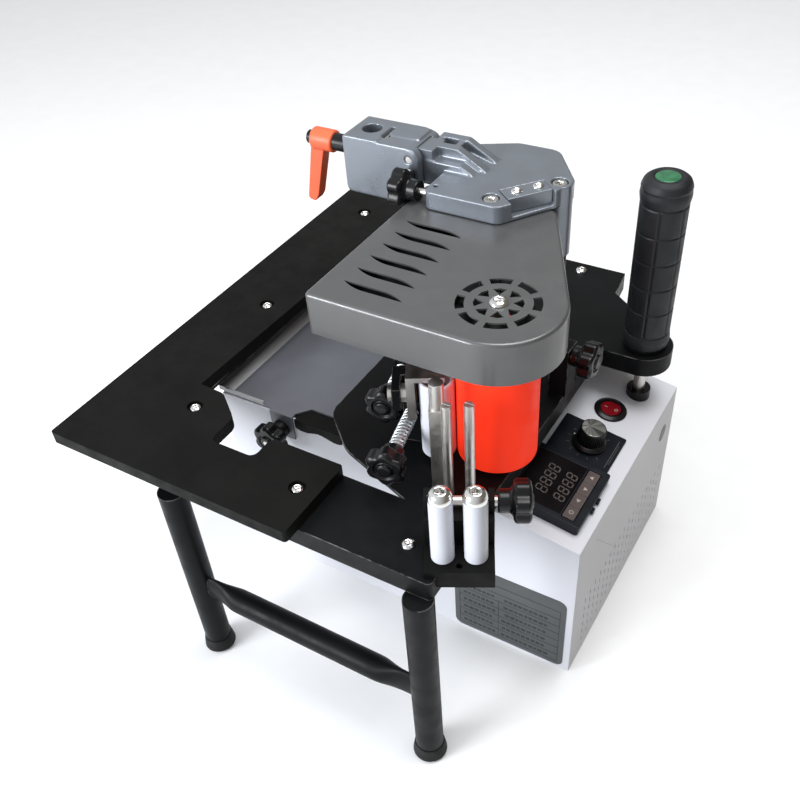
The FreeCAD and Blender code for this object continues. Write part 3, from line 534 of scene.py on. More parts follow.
# colour, roughness, colour variation, grain per metre, relief, then any special settings
COATINGS = {
    "black_satin": ((0.0055, 0.0055, 0.005), 0.55, 0.2, 2600, 0.2, {"glow": 0.09}),
    "black_paint": ((0.0045, 0.005, 0.0055), 0.42, 0.2, 1500, 0.12,
                    {"worn": (0.2, 0.19, 0.17), "glow": 0.11}),
    "black_rubber": ((0.0085, 0.009, 0.0085), 0.6, 0.2, 2200, 0.2, {"glow": 0.25}),
    "white_enamel": ((0.72, 0.73, 0.78), 0.42, 0.012, 900, 0,
                     {"coat": 0.1, "patch": 9, "glow": 0.3, "uneven": 0.04}),
    "label_grey": ((0.07, 0.077, 0.079), 0.42, 0.06, 1500, 0.04, {}),
    "tray_grey": ((0.125, 0.13, 0.15), 0.38, 0.08, 900, 0.07, {}),
    "tray_rim": ((0.36, 0.365, 0.375), 0.36, 0.05, 900, 0.05, {"metal": 0.15}),
    # the red sleeve's emission is painted light that brightens it beyond what the lamps give
    "silicone_red": ((1, 0.043, 0.014), 0.5, 0.02, 1800, 0.03, {"glow": 0.15, "painted_light": 0.42}),
    "nylon_white": ((0.68, 0.7, 0.77), 0.34, 0.015, 1500, 0.03, {"glow": 0.35}),
    "black_plastic": ((0.005, 0.005, 0.0055), 0.28, 0.2, 1400, 0.12, {"glow": 0.3}),
    "cover_grey": ((0.118, 0.119, 0.12), 0.34, 0.02, 1600, 0.05, {"metal": 0.45, "coat": 0.15}),
    "cast_grey": ((0.195, 0.215, 0.245), 0.33, 0.05, 520, 0.22, {"metal": 0.5, "coat": 0.2}),
    "lever_orange": ((0.8, 0.125, 0.045), 0.42, 0.06, 1100, 0.12, {}),
    "grip_rubber": ((0.0085, 0.01, 0.012), 0.5, 0.15, 2400, 0.2, {"glow": 0.35}),
    "controller_black": ((0.007, 0.0085, 0.013), 0.36, 0.15, 1800, 0.06, {"glow": 0.22}),
    "window_black": ((0.006, 0.0045, 0.0055), 0.22, 0.1, 300, 0.01, {"glow": 0.12}),
    "digit_brown": ((0.11, 0.09, 0.083), 0.3, 0.1, 600, 0.02, {}),
    "key_brown": ((0.075, 0.055, 0.05), 0.4, 0.1, 1200, 0.05, {}),
    "mark_cream": ((0.42, 0.36, 0.32), 0.5, 0.1, 1200, 0.03, {}),
    "mark_white": ((0.75, 0.75, 0.75), 0.5, 0.05, 1200, 0.03, {}),
    "mark_dim": ((0.06, 0.06, 0.062), 0.5, 0.2, 1200, 0.03, {}),
    "rule_dark": ((0.018, 0.02, 0.022), 0.5, 0.1, 1200, 0.03, {}),
    "seam_grey": ((0.4, 0.39, 0.37), 0.5, 0.1, 1200, 0.03, {}),
    "rocker_red": ((0.2, 0.006, 0.011), 0.18, 0.1, 600, 0.03, {"coat": 0.5}),
    "cap_green": ((0.015, 0.14, 0.055), 0.15, 0.3, 500, 0.03, {"coat": 0.6, "patch": 120}),
    "motor_black": ((0.03, 0.03, 0.03), 0.5, 0.1, 1000, 0.1, {}),
}
# colour, roughness, stretch of the tool marks, relief
STEELS = {
    "chrome": ((0.78, 0.77, 0.75), 0.13, (60, 60, 60), 0.02),
    "spring_steel": ((0.8, 0.84, 0.86), 0.34, (60, 60, 60), 0.01),
    "brushed_steel": ((0.62, 0.6, 0.57), 0.38, (400, 400, 12), 0.02),
    "bare_aluminium": ((0.62, 0.62, 0.63), 0.38, (400, 400, 12), 0.08),
}
PAINT = {name: coating(name, *numbers, **special)
         for name, (*numbers, special) in COATINGS.items()}
PAINT |= {name: steel(name, *numbers) for name, numbers in STEELS.items()}


# ---------------------------------------------------------------- plates, legs and chassis

# the CAD nodes shown as they are, with the width of their softened edges
PLAIN_NODES = {
    "work_board": 0.7, "base_plate": 0.6, "chassis_shell": 0.5, "chassis_bottom": 0.3,
    "glue_pot": 0.5, "heater_rods": 0.4, "standoffs": 0.4, "feed_roller_core": 0.3,
    "feed_gear": 0.1, "neck_bearing": 0.3, "roller_axle": 0.3, "motor_pinion": 0.1,
    "gear_motor": 0.6, "pinch_axle": 0.3, "pinch_carriage": 0.5, "guide_blocks": 0.6,
    "knob_studs": 0.3, "infeed_bracket": 0.8, "guide_pins": 0.3, "glue_post": 0.4,
    "head_pillars": 0.4, "pivot_pin": 0.3, "lever_insert": 0.5, "handle_stud": 0.3,
    "handle_collars": 0.6, "power_supply": 0.6, "mains_inlet": 0.5,
}
SHEET_NODES = ("chassis_shell", "chassis_bottom")


def dress_plain_nodes():
    for node, edge in PLAIN_NODES.items():
        dress(node, SLOT_OF[node], edge, node in SHEET_NODES)


def make_leg_stand():
    """Tube legs, and a stretcher whose ends are pressed flat where they are welded on."""
    caps = sorted(solids("leg_caps"), key=lambda box: box[0].x)
    stand_low, stand_high = span("leg_stand")
    row = middle_of(caps[0]).y
    radius = (stand_high.y - stand_low.y) / 2
    across = [middle_of(box).x for box in caps]
    legs = [rod((x, row, stand_low.z), radius, stand_high.z - stand_low.z, edge=0.3)
            for x in across]
    height, thick, flat_long, blend_long = 83, 10, 16, 26
    rings, sides, steps = [], 32, 60
    run = across[1] - across[0]
    for step in range(steps + 1):
        far = run * step / steps
        near_end = min(far, run - far)
        share = min(1, max(0, (near_end - flat_long) / blend_long))
        share = share * share * (3 - 2 * share)
        deep, tall = thick * (0.42 + 0.58 * share), thick * (1.3 - 0.3 * share)
        rings.append([(across[0] + far, row + deep * math.cos(2 * math.pi * k / sides),
                       height + tall * math.sin(2 * math.pi * k / sides)) for k in range(sides)])
    stand = joined(*legs, lofted(rings, capped=True))
    finish_piece("legs_and_stretcher", stand, "black_paint", stands_for=["leg_stand"])
    rubber = []
    for x, cap in zip(across, caps):
        foot, tall = radius_of(cap), cap[1].z
        profile = [(0, 0), (0, foot * 0.72), (2.8, foot), (tall - 2, radius + 1.1),
                   (tall, radius + 0.7), (tall, 0)]
        rubber.append(turned(eased(profile, 0.5), Vector((x, row, 0)), count=48))
    finish_piece("rubber_leg_caps", merged(*rubber), "black_rubber",
                 stands_for=["leg_caps"])


def make_label():
    """Rating label without any lettering: a frame, ruled lines and a divider."""
    low, high = span("rating_label")
    round_by, inset, line = 7, 4.5, 0.55
    outline = oblong(low.x, low.z, high.x, high.z, [round_by] * 4)
    finish_piece("rating_plate", side_prism(outline, low.y + 0.3, high.y), "label_grey",
                 stands_for=["rating_label"])
    left, right, bottom, top = low.x + inset, high.x - inset, low.z + inset, high.z - 3 * inset
    front, back = low.y + 0.2, low.y + 0.4

    def stroke(x0, z0, x1, z1):
        return block((x0, front, z0), (x1, back, z1))

    rows = 7
    pitch = (top - bottom) / rows
    divider = left + 0.4 * (right - left)
    strokes = [stroke(left, bottom, left + line, top), stroke(right - line, bottom, right, top)]
    strokes += [stroke(left, bottom + k * pitch, right, bottom + k * pitch + line)
                for k in range(rows + 1)]
    strokes.append(stroke(divider, bottom, divider + line, bottom + (rows - 2) * pitch))
    random.seed(11)
    for row in range(rows - 1):
        dash, gap = left + 4, 1
        level = bottom + (row + 0.32) * pitch
        while dash < right - 12:
            wide = random.uniform(2.6, 4.2)
            if not divider - 5 < dash < divider + 2.5:
                strokes.append(stroke(dash, level, dash + wide, level + 0.3 * pitch))
            dash += wide + gap
    finish_piece("rating_plate_rules", merged(*strokes), "rule_dark", like="rating_label")


def make_wall_details():
    """Folded seam and a plain round sticker on the right wall."""
    low, high = span("chassis_shell")
    wall, seam_width, sticker_radius, sticker_thick = high.x, 0.18, 8, 0.25
    top, foot = Vector((wall, low.y + 35, 133)), Vector((wall, low.y + 95, 62))
    bend = top + (foot - top).normalized() * 46
    finish_piece("wall_seam", swept([top, bend, foot], seam_width, 6), "seam_grey",
                 like="chassis_shell")
    sticker = rod((wall - 0.05, high.y - 26, 118), sticker_radius, sticker_thick, X, 0.1)
    finish_piece("wall_sticker", sticker, "label_grey", like="rating_label")


def make_tray():
    """Glue tray lid with a raised rim, a folded tab and a ragged strip of insulation."""
    low, high = span("tray_lid")
    left, right, front, back = low.x, high.x, low.y + 3, high.y
    top, sheet = high.z, 2
    tab_left, tab_right, tab_tall, tab_sheet = left + 51.5, left + 74.5, 24.5, 1.5
    slot_left, slot_right, slot_top, slot_round = left + 60, left + 66, 9, 2.9
    shoulder, recess = 9, 14        # where the lid steps back to the right of its tab
    lid = prism(rounded([(left, front, 1.5), (tab_left, front, 0), (tab_left, low.y, 0),
                         (tab_right, low.y, 0), (tab_right, front + 3, 0),
                         (tab_right + shoulder, front + recess, 2), (right, front + recess, 1),
                         (right, back, 1), (left, back, 1.5)]), top - sheet, top)
    tab = prism(rounded([(tab_left, 0, 0), (tab_right, 0, 0), (tab_right, tab_tall, 0),
                         (slot_right, tab_tall, 1), (slot_right, slot_top, slot_round),
                         (slot_left, slot_top, slot_round), (slot_left, tab_tall, 1),
                         (tab_left, tab_tall, 0)]), 0, tab_sheet)
    folded_down = Matrix(((1, 0, 0, 0), (0, 0, 1, low.y), (0, -1, 0, top - 0.05), (0, 0, 0, 1)))
    body = softened(joined(lid, moved(tab, folded_down)), 0.35, 2)
    finish_piece("tray_cover", body, "tray_grey", stands_for=["tray_lid"])

    lap, rim_wide, rim_tall, rim_sheet = 3.8, 9, 4.5, 1.6
    section = [(left - lap, top + 0.1), (left + rim_wide, top - 0.1),
               (left + rim_wide - 2.5, top + 1.4), (left + rim_sheet, top + rim_tall),
               (left - lap, top + rim_tall)]
    rim = side_prism(section, front, back)
    front_rim = block((left + 2, front, top - 0.2),
                      (tab_left - 8, front + rim_sheet, top + rim_tall - 1.2))
    finish_piece("tray_rim", softened(joined(rim, front_rim), 0.5, 2), "tray_rim",
                 like="tray_lid")

    random.seed(4)
    steps, hang, wave = 60, 10, 1.6
    start, run = tab_right + 2, right - tab_right - 4
    edge = [(start + run * k / steps, top - hang - wave * math.sin(9 * k / steps)
             - random.uniform(0, 0.5)) for k in range(steps + 1)]
    wall = span("chassis_shell")[0].y
    strip = side_prism(edge + [(start + run, top - 1.2), (start, top - 1.2)],
                       wall - 1.6, wall - 0.1)
    bedding = block((start, wall - 1, top - 6),
                    (start + run, front + recess + 1, top - sheet - 0.1))
    shelf = block((start, wall - 0.8, top - 4),
                  (start + run, front + recess - 0.2, top - sheet + 0.3))
    finish_piece("insulation_strip", softened(joined(strip, bedding, shelf), 0.12, 1),
                 "black_satin", like="tray_lid")


# ---------------------------------------------------------------- screws and knobs

def button_head(top, radius, tall, socket=0.48):
    """Domed screw head with a hexagon socket; `top` is the middle of its crown."""
    deep = tall * 0.62
    hole = radius * socket
    profile = [(-tall, 0), (-tall, radius), (-tall * 0.72, radius), (-tall * 0.3, radius * 0.86),
               (0, radius * 0.6), (0, hole * 1.18, 0.6), (-0.25, hole, 1), (-deep, hole, 1),
               (-deep - 0.4, 0)]
    return turned(eased(profile, 0.45, 3), top, form=hex_form, count=48)


GUIDE_CAP = 7.5     # height of the domed heads that cap the guide rollers


def make_screws():
    heads = [button_head(crown(box), radius_of(box), 2.8) for box in solids("button_screws")]
    finish_piece("screw_heads", merged(*heads), "chrome", stands_for=["button_screws"])

    heads = []
    for box in solids("guide_roller_bolts"):
        radius, tall, shank, socket = radius_of(box), GUIDE_CAP, 2.6, 3.3
        profile = [(-tall - 18, 0), (-tall - 18, shank), (-tall, shank), (-tall, radius),
                   (-tall + 1, radius + 0.5), (-4.4, radius + 0.2), (-1.6, radius * 0.84),
                   (0, radius * 0.6), (0, socket + 0.4, 0.7), (-0.3, socket, 1), (-5, socket, 1),
                   (-5.5, 0)]
        heads.append(turned(eased(profile, 1, 5), crown(box), form=hex_form, count=72))
    finish_piece("guide_bolt_heads", merged(*heads), "chrome",
                 stands_for=["guide_roller_bolts"])


def knob_piece(node, joint, name):
    """Black star knob with a hub, scalloped lobes and a capped face."""
    origin, axis = joint_line(joint)
    foot, end = reach(node, origin, axis)
    long = end - foot
    hub_long, radius, hub = long - 12, 15, 8
    profile = [(0, 0), (0, hub - 0.8), (0.8, hub), (hub_long - 2, hub), (hub_long - 0.4, hub + 2),
               (hub_long, radius - 2.2, 0.9), (hub_long + 1.4, radius, 1), (long - 1.8, radius, 1),
               (long, radius - 2.4, 0.9), (long - 0.1, 8.2, 0.1), (long - 1.4, 7.4),
               (long - 1.4, 6), (long + 0.6, 5.4), (long + 1.2, 4), (long + 1.2, 0)]
    finish_piece(name, turned(eased(profile, 1.1, 4), origin + axis * foot, axis, star_form, 96),
                 "black_plastic", stands_for=[node])


def make_knobs():
    for node, joint in (("front_adjuster_knob", "front_adjuster_turn"),
                        ("rear_adjuster_knob", "rear_adjuster_turn"),
                        ("tray_knob", "tray_knob_turn"), ("infeed_knob", "infeed_knob_turn"),
                        ("side_knob", "side_knob_turn"), ("rear_knob", "rear_knob_turn")):
        knob_piece(node, joint, node.replace("knob", "star_knob"))


def make_springs():
    wire, coil_radius, pitch, per_turn = 0.65, 4.8, 3.3, 20
    coils = []
    for joint in ("front_adjuster_turn", "rear_adjuster_turn"):
        origin, axis = joint_line(joint)
        first, last = reach("adjuster_springs", origin, axis, within=7)
        first, last = first + wire, last - wire
        steps = round((last - first) / pitch) * per_turn
        path = [origin + axis * (first + (last - first) * step / steps)
                + basis(axis) @ polar(coil_radius, 2 * math.pi * step / per_turn)
                for step in range(steps + 1)]
        coils.append(swept(path, wire))
    finish_piece("coil_springs", merged(*coils), "spring_steel",
                 stands_for=["adjuster_springs"])


# ---------------------------------------------------------------- rollers

def tube_piece(name, node, paint, bore, edge, top=None):
    """An upright tube that fills a CAD node's box, or reaches from its foot to `top`."""
    box = span(node)
    radius, tall = radius_of(box), (top or box[1].z) - box[0].z
    profile = eased([(0, bore), (0, radius), (tall, radius), (tall, bore)], edge)
    finish_piece(name, turned(profile, foot_of(box), count=96, loop=True), paint,
                 stands_for=[node])


def make_rollers():
    tube_piece("feed_sleeve", "feed_roller_sleeve", "silicone_red",
               radius_of(span("feed_roller_core")), 1.2)
    guide_top, guide_bore = span("guide_roller_bolts")[1].z - GUIDE_CAP, 3.1
    for side in ("left", "right"):
        tube_piece(f"{side}_guide_sleeve", f"{side}_guide_roller", "nylon_white",
                   guide_bore, 0.9, guide_top)
    box = span("pinch_roller")
    radius, tall, bore, recess = radius_of(box), box[1].z - box[0].z, 4.1, 12
    profile = eased([(0, bore), (0, radius), (tall, radius), (tall, radius - 2.6),
                     (tall - recess, radius - 3.4), (tall - recess, bore)], 1.0)
    finish_piece("pinch_tube", turned(profile, foot_of(box), count=96, loop=True),
                 "nylon_white", stands_for=["pinch_roller"])


# ---------------------------------------------------------------- head

def leaf(length, width, steps=24):
    """A slot outline with one straight edge into each pointed end and one curved edge."""
    def drop(share):
        return width / 2 - width * math.sin(math.pi / 2 * min(1, share * 2.6)) ** 0.8

    low = [Vector((length * k / steps, drop(k / steps))) for k in range(steps + 1)]
    high = [Vector((length * k / steps, -drop(1 - k / steps))) for k in range(steps - 1, 0, -1)]
    return low + high


def sector(inner, outer, middle, half, steps=6):
    """A piece of a ring about the origin, between two radii."""
    angles = [middle - half + 2 * half * k / steps for k in range(steps + 1)]
    return ([polar(outer, angle).xy for angle in angles]
            + [polar(inner, angle).xy for angle in reversed(angles)])


def shifted(outline, x, y):
    return [point + Vector((x, y)) for point in outline]


def make_head_cover():
    """Pressed cover: rounded top edge, six leaf slots and a fan vent over the feed roller."""
    low, high = span("head_cover")
    hub, _ = joint_line("feed_roller_spin")
    sheet, top_sheet, top_round = 2.5, 1.3, 2.6
    side_angle, nose = math.radians(28), high.x - hub.x
    slope = math.tan(side_angle)
    nose_x = hub.x + nose * math.cos(side_angle)
    nose_y = hub.y + nose * math.sin(side_angle)

    def outline(inset):
        front, left, rear = low.y + inset, low.x + inset, high.y - inset
        lean = inset / math.cos(side_angle)
        front_right = nose_x - lean + slope * (nose_y - front)
        rear_right = nose_x - lean - slope * (rear - nose_y)
        return rounded([(left, front, 3.6 - inset), (front_right, front, nose - inset - 0.02),
                        (rear_right, rear, 8 - inset), (left, rear, 8 - inset)], 16)

    shell = prism(outline(0), low.z, high.z)
    top_edges = [edge for edge in shell.edges if all(v.co.z > high.z - 0.01 for v in edge.verts)]
    bmesh.ops.bevel(shell, geom=top_edges, offset=top_round, segments=6, profile=0.5,
                    affect="EDGES")
    hollow = prism(outline(sheet), low.z - 5, high.z - top_sheet)
    slot_left, slot_first, slot_pitch, slot_long, slot_wide = 16.6, 22, 17.25, 49, 6
    holes = [shifted(leaf(slot_long, slot_wide), low.x + slot_left - 0.5 * k,
                     low.y + slot_first + slot_pitch * k) for k in range(6)]
    blades, half, arc_inner, arc_outer, tip, wide_at, screw_hole = 8, 0.29, 22.4, 28.4, 9.2, 16.2, 3
    for k in range(blades):
        angle = 2 * math.pi * (k + 0.5) / blades
        wedge = [polar(far, angle + turn).xy for far, turn in
                 ((tip, 0), (wide_at, -half), (wide_at + 0.5, 0), (wide_at, half))]
        holes += [shifted(hole, hub.x, hub.y)
                  for hole in (sector(arc_inner, arc_outer, angle, half), wedge)]
    holes.append(shifted(sector(0.01, screw_hole, 0, math.pi * 0.999, 24), hub.x, hub.y))
    cover = carved(shell, hollow, *(prism(hole, high.z - sheet - 1, high.z + 1) for hole in holes))
    finish_piece("head_shell", softened(cover, 0.35, 2, 40), "cover_grey",
                 stands_for=["head_cover"], sharp=50)

    # A black sheet, ring and bridge under the slots and the vent are painted shade: they make the openings dark,
    # as the shade inside the cover.
    shade_sheet_gap, shade_sheet_long, shade_sheet_deep, thick = 4, 72, 121, 1.5
    shade_sheet = prism(oblong(low.x + shade_sheet_gap, low.y + shade_sheet_gap, low.x + shade_sheet_long,
                          low.y + shade_sheet_deep, [2] * 4), high.z - 10, high.z - 8)
    ring = turned([(0, 8), (0, 24.5), (thick, 24.5), (thick, 8)],
                  Vector((hub.x, hub.y, high.z - 9.8)), loop=True)
    bridge = block((low.x + shade_sheet_long - 2, hub.y - 8, high.z - 9.7),
                   (hub.x - 22, hub.y + 8, high.z - 8.4))
    finish_piece("shade_sheet_below_openings", joined(shade_sheet, ring, bridge), "black_rubber",
                 like="head_cover")


def make_head_bracket():
    """Grey casting with two tapering ribs, sunk bolts and a screwed insert plate."""
    bolts = sorted(solids("head_screws"), key=lambda box: box[0].y)
    cover_screw, front_bolt, rear_bolt = bolts
    first, second = middle_of(front_bolt), middle_of(rear_bolt)
    low, high = span("head_bracket")
    bottom, top = 341, 355
    left, front, right, back = 206, low.y, high.x, high.y
    plate = prism(rounded([(left, front, 6), (first.x + 11, front, 8),
                           (second.x + 3, second.y - 15, 4), (right, second.y + 5, 5),
                           (right - 30, back, 14), (left + 31, back, 14),
                           (left, back - 15, 6)]), bottom, top)
    rib_left, rib_flat, rib_end, rib_top, ledge_top = 188, 212, 238, 369, 361
    rib_front, trough_front, trough_back, rib_back = 274.5, 282.5, 291.5, 299

    def wedge(tall, far_flat, far_end, front_y, back_y):
        """A level top that falls to the plate towards the right."""
        return side_prism([(rib_left, bottom), (far_end, bottom), (far_end, top - 0.5),
                           (far_flat, tall), (rib_left, tall)], front_y, back_y)

    ribs = [wedge(rib_top, rib_flat, rib_end, rib_front, trough_front),
            wedge(rib_top, rib_flat, rib_end, trough_back, rib_back)]
    ledge = wedge(ledge_top, 219, 232, 265, rib_front + 1)
    floor = wedge(ledge_top - 1, 216, rib_end - 2, trough_front - 1, trough_back + 1)
    webs = [block((x, trough_front - 1, bottom), (x + wide, trough_back + 1, rib_top - 0.6))
            for x, wide in ((rib_left, 5), (206, 5))]
    tongue_foot, tongue_right, tongue_front, tongue_back = 343, 196, 265.5, 286.5
    tongue = side_prism(rounded([(181, tongue_foot, 3), (tongue_right, tongue_foot, 0),
                                 (tongue_right, rib_top, 0), (180, rib_top, 8),
                                 (171, 362, 7.5)]), tongue_front, tongue_back)
    boss_foot = 296
    boss = rod((second.x, second.y, boss_foot), 10, top - boss_foot, edge=0.6)
    base = joined(plate, *ribs, ledge, floor, *webs, tongue, boss)
    tools = [rod((spot.x, spot.y, top - 7), 6.4, 12, edge=0.01) for spot in (first, second)]
    tapped_hole = rod((211.3, front + 11, top - 5), 1.9, 8, edge=0.01)
    along = (second - first).xy.normalized()
    across = Vector((along.y, -along.x))

    def between_bolts(clear, inner, outer):
        """A four-cornered outline that stands clear of both bolts."""
        ends = first.xy + along * clear, second.xy - along * clear
        return [ends[0] - across * inner, ends[0] + across * outer,
                ends[1] + across * outer, ends[1] - across * inner]

    tools += [tapped_hole, prism(between_bolts(9.5, 7.5, 40), bottom + 3, top + 2)]
    finish_piece("head_casting", cast(carved(base, *tools), 0.75, 4), "cast_grey",
                 stands_for=["head_bracket"], sharp=80, level=False)

    insert = prism(between_bolts(9.8, 7.2, 8.6), bottom + 3.1, top + 0.4)
    finish_piece("insert_plate", softened(insert, 0.7, 3), "cast_grey",
                 like="head_bracket")
    spots = [first.lerp(second, share) for share in (0.36, 0.68)]
    heads = [button_head(Vector((spot.x, spot.y, top + 2.2)), 4.4, 2) for spot in spots]
    profile = eased([(-8, 0), (-8, 5.5), (0, 5.5), (0, 3.3, 0.6), (-0.4, 2.9, 1), (-4, 2.9, 1),
                     (-4.4, 0)], 0.5)
    heads += [turned(profile, crown(bolt), form=hex_form, count=48)
              for bolt in (front_bolt, rear_bolt)]
    heads.append(button_head(crown(cover_screw), 6.4, 3))
    finish_piece("head_bolt_heads", merged(*heads), "chrome", stands_for=["head_screws"])


def make_clamp_block():
    """Grey casting that grips the reel post, with its split, raised pad and lever."""
    low, high = span("clamp_block")
    pivot, _ = joint_line("reel_clamp_fold")
    body = side_prism(rounded([(low.x, low.z, 5), (high.x - 16, low.z, 10),
                               (high.x, low.z + 17, 10), (high.x, high.z - 3, 9),
                               (high.x - 14, high.z, 6), (low.x, high.z, 2)], 12),
                      low.y, high.y)
    pad = prism(oblong(low.x + 33, low.y + 16, high.x - 8, high.y - 1.5, (2, 2, 3, 2)),
                high.z - 2, high.z)
    middle, post_radius, pin_radius = (low.y + high.y) / 2 + 1, 8, 2.6
    shaved = block((low.x + 31, low.y - 1, high.z - 0.9), (high.x + 1, low.y + 15, high.z + 1))
    yoke = block((high.x - 23, low.y + 8, low.z - 1), (high.x + 5, low.y + 30, high.z - 3))
    hole = rod((low.x + 16, middle, low.z - 1), post_radius, high.z - low.z + 2, edge=0.01,
               count=64)
    slot = block((low.x + 29.5, middle - 10, high.z - 8), (low.x + 35.5, middle + 8, high.z + 1))
    pin_hole = rod((pivot.x, low.y - 1, pivot.z), pin_radius, 4, Y, 0.01)
    casting = joined(carved(body, shaved, yoke, hole, slot, pin_hole), pad)
    finish_piece("clamp_casting", cast(casting, 0.7, 3), "cast_grey",
                 stands_for=["clamp_block"], sharp=80, level=False)
    bar = rod((low.x + 32.2, middle - 9, high.z - 4), 2.0, 16.5, Y, 0.4)
    finish_piece("clamp_split_screw", bar, "chrome", like="clamp_block")

    origin, _ = joint_line("clamp_lever_turn")
    hub_long, lean_angle = 21, 13
    hub_start = span("ratchet_lever")[1].x - hub_long
    hub = rod((hub_start, origin.y, origin.z), 9, hub_long, X, 1.6)
    arm = prism(rounded([(-6.5, 2, 2), (6.5, 2, 2), (5, -50, 3), (2.5, -57, 3), (-5, -57, 3)]),
                -5.3, 5.3)
    lean = Matrix.Rotation(math.radians(lean_angle), 4, "Y")
    upright = Matrix(((1, 0, 0, 0), (0, 0, 1, 0), (0, 1, 0, 0), (0, 0, 0, 1)))
    place = Matrix.Translation((hub_start + 6.5, origin.y, origin.z)) @ lean @ upright
    groove = block((-1.4, -70, -7), (1.4, -49, 2.5))
    lever = carved(joined(hub, moved(arm, place)), moved(groove, place),
                   rod((hub_start - 1, origin.y, origin.z), 5.7, 4, X, 0.01))
    finish_piece("orange_lever", cast(lever, 0.6, 3), "lever_orange",
                 stands_for=["ratchet_lever"], sharp=80, level=False)


# ---------------------------------------------------------------- handle

def make_handle():
    """Moulded grip with rows of blocks between its end rings, and a capped end."""
    grip, (cap_low, cap_high) = span("handle_grip"), span("handle_cap")
    radius, tall, foot = radius_of(grip) - 0.4, grip[1].z - grip[0].z, foot_of(grip)
    around, rows, columns, block_tall, groove, deep = 168, 230, 6, 22.5, 0.9, 0.7
    ring_low, ring_high = 12, tall - 13

    def groove_depth(turn, far):
        """How deep the moulded grooves are at a share of a turn and a height."""
        if far < ring_low or far > ring_high:
            near = min(abs(far - ring_low), abs(far - ring_high))
            return deep * max(0, 1 - near / 1.2)
        column = (turn * columns + 0.35) % columns
        side = min(column % 1, 1 - column % 1) * 2 * math.pi * radius / columns
        height = (far - ring_low) % block_tall
        end = min(height, block_tall - height)
        return deep * max(0, 1 - (min(side, end) / groove) ** 2)

    rings = []
    for row in range(rows + 1):
        far = tall * row / rows
        foot_bulge = 0.8 * math.exp(-((far - 5) / 4) ** 2)
        end_bulge = 0.9 * math.exp(-((far - tall + 6) / 4.5) ** 2)
        wide = radius - 0.5 + foot_bulge + end_bulge
        rings.append([foot + polar(wide - groove_depth(step / around, far),
                                   2 * math.pi * step / around, far) for step in range(around)])
    finish_piece("moulded_grip", lofted(rings, capped=True), "grip_rubber",
                 stands_for=["handle_grip"], sharp=60)
    cap_tall = cap_high.z - cap_low.z
    profile = [(-2, 0), (-2, radius), (0, radius + 0.3), (cap_tall - 2.6, radius - 1.5),
               (cap_tall, radius - 5), (cap_tall, 10.4), (cap_tall - 0.9, 9.8), (cap_tall - 0.9, 0)]
    top = Vector((foot.x, foot.y, cap_low.z))
    finish_piece("grip_end_cap", turned(eased(profile, 1.2, 4), top, count=96),
                 "grip_rubber", stands_for=["handle_cap"])
    disc = turned(eased([(cap_tall - 1.2, 0), (cap_tall - 1.2, 9.5), (cap_tall - 0.3, 9.2),
                         (cap_tall, 5), (cap_tall + 0.05, 0)], 0.6, 4), top, count=64)
    finish_piece("grip_end_disc", disc, "cap_green", like="handle_cap")
    toward = Vector((-0.99, -0.1, 0)).normalized()
    spot = foot + UP * (tall - 7) + toward * (radius + 0.2)
    finish_piece("grip_dot", rod(spot, 1.3, 0.5, toward, 0.1, 24), "mark_white",
                 like="handle_grip")


# ---------------------------------------------------------------- console

CONSOLE_UP = joint_line("speed_dial_turn")[1]
DOWNHILL = Y.cross(CONSOLE_UP).normalized()


def on_console(origin):
    """Places local (downhill, back, up) millimetres at an origin on the sloping sheet."""
    turn = Matrix((DOWNHILL, Y, CONSOLE_UP)).transposed().to_4x4()
    return Matrix.Translation(origin) @ turn


def plate(width, depth, low, high, corner=1.5, middle=(0, 0)):
    """A rounded flat plate in local console coordinates."""
    x, y = middle
    half, deep = width / 2, depth / 2
    return prism(oblong(x - half, y - deep, x + half, y + deep, [corner] * 4, 5), low, high)


# the bars of a seven-segment eight, as ends (across, up) in half heights
SEGMENTS = ((0, 0, 1, 0), (0, 0, 0, 1), (1, 0, 1, 1), (0, 1, 1, 1), (0, 1, 0, 2), (1, 1, 1, 2),
            (0, 2, 1, 2))


def digit(corner, wide, tall, level, thick):
    """A seven-segment eight; its top points uphill and it reads towards the back."""
    bars, lean = [], 0.12
    for x0, y0, x1, y1 in SEGMENTS:
        ends = []
        for x, y in ((x0, y0), (x1, y1)):
            rise = y * tall / 2
            ends.append(Vector((corner[0] - rise, corner[1] + x * wide + lean * rise)))
        run = (ends[1] - ends[0]).normalized()
        side = Vector((-run.y, run.x)) * thick / 2
        first, last = ends[0] + run * thick * 0.7, ends[1] - run * thick * 0.7
        bars.append(prism([first - side, last - side, last + run * thick * 0.4, last + side,
                           first + side, first - run * thick * 0.4], level, level + 0.12))
    return merged(*bars)


# each key with the direction of its triangle's tip; the set key has a ring instead
KEY_TIPS = {"key_set": None, "key_shift": -math.pi / 2, "key_down": 0, "key_up": math.pi}


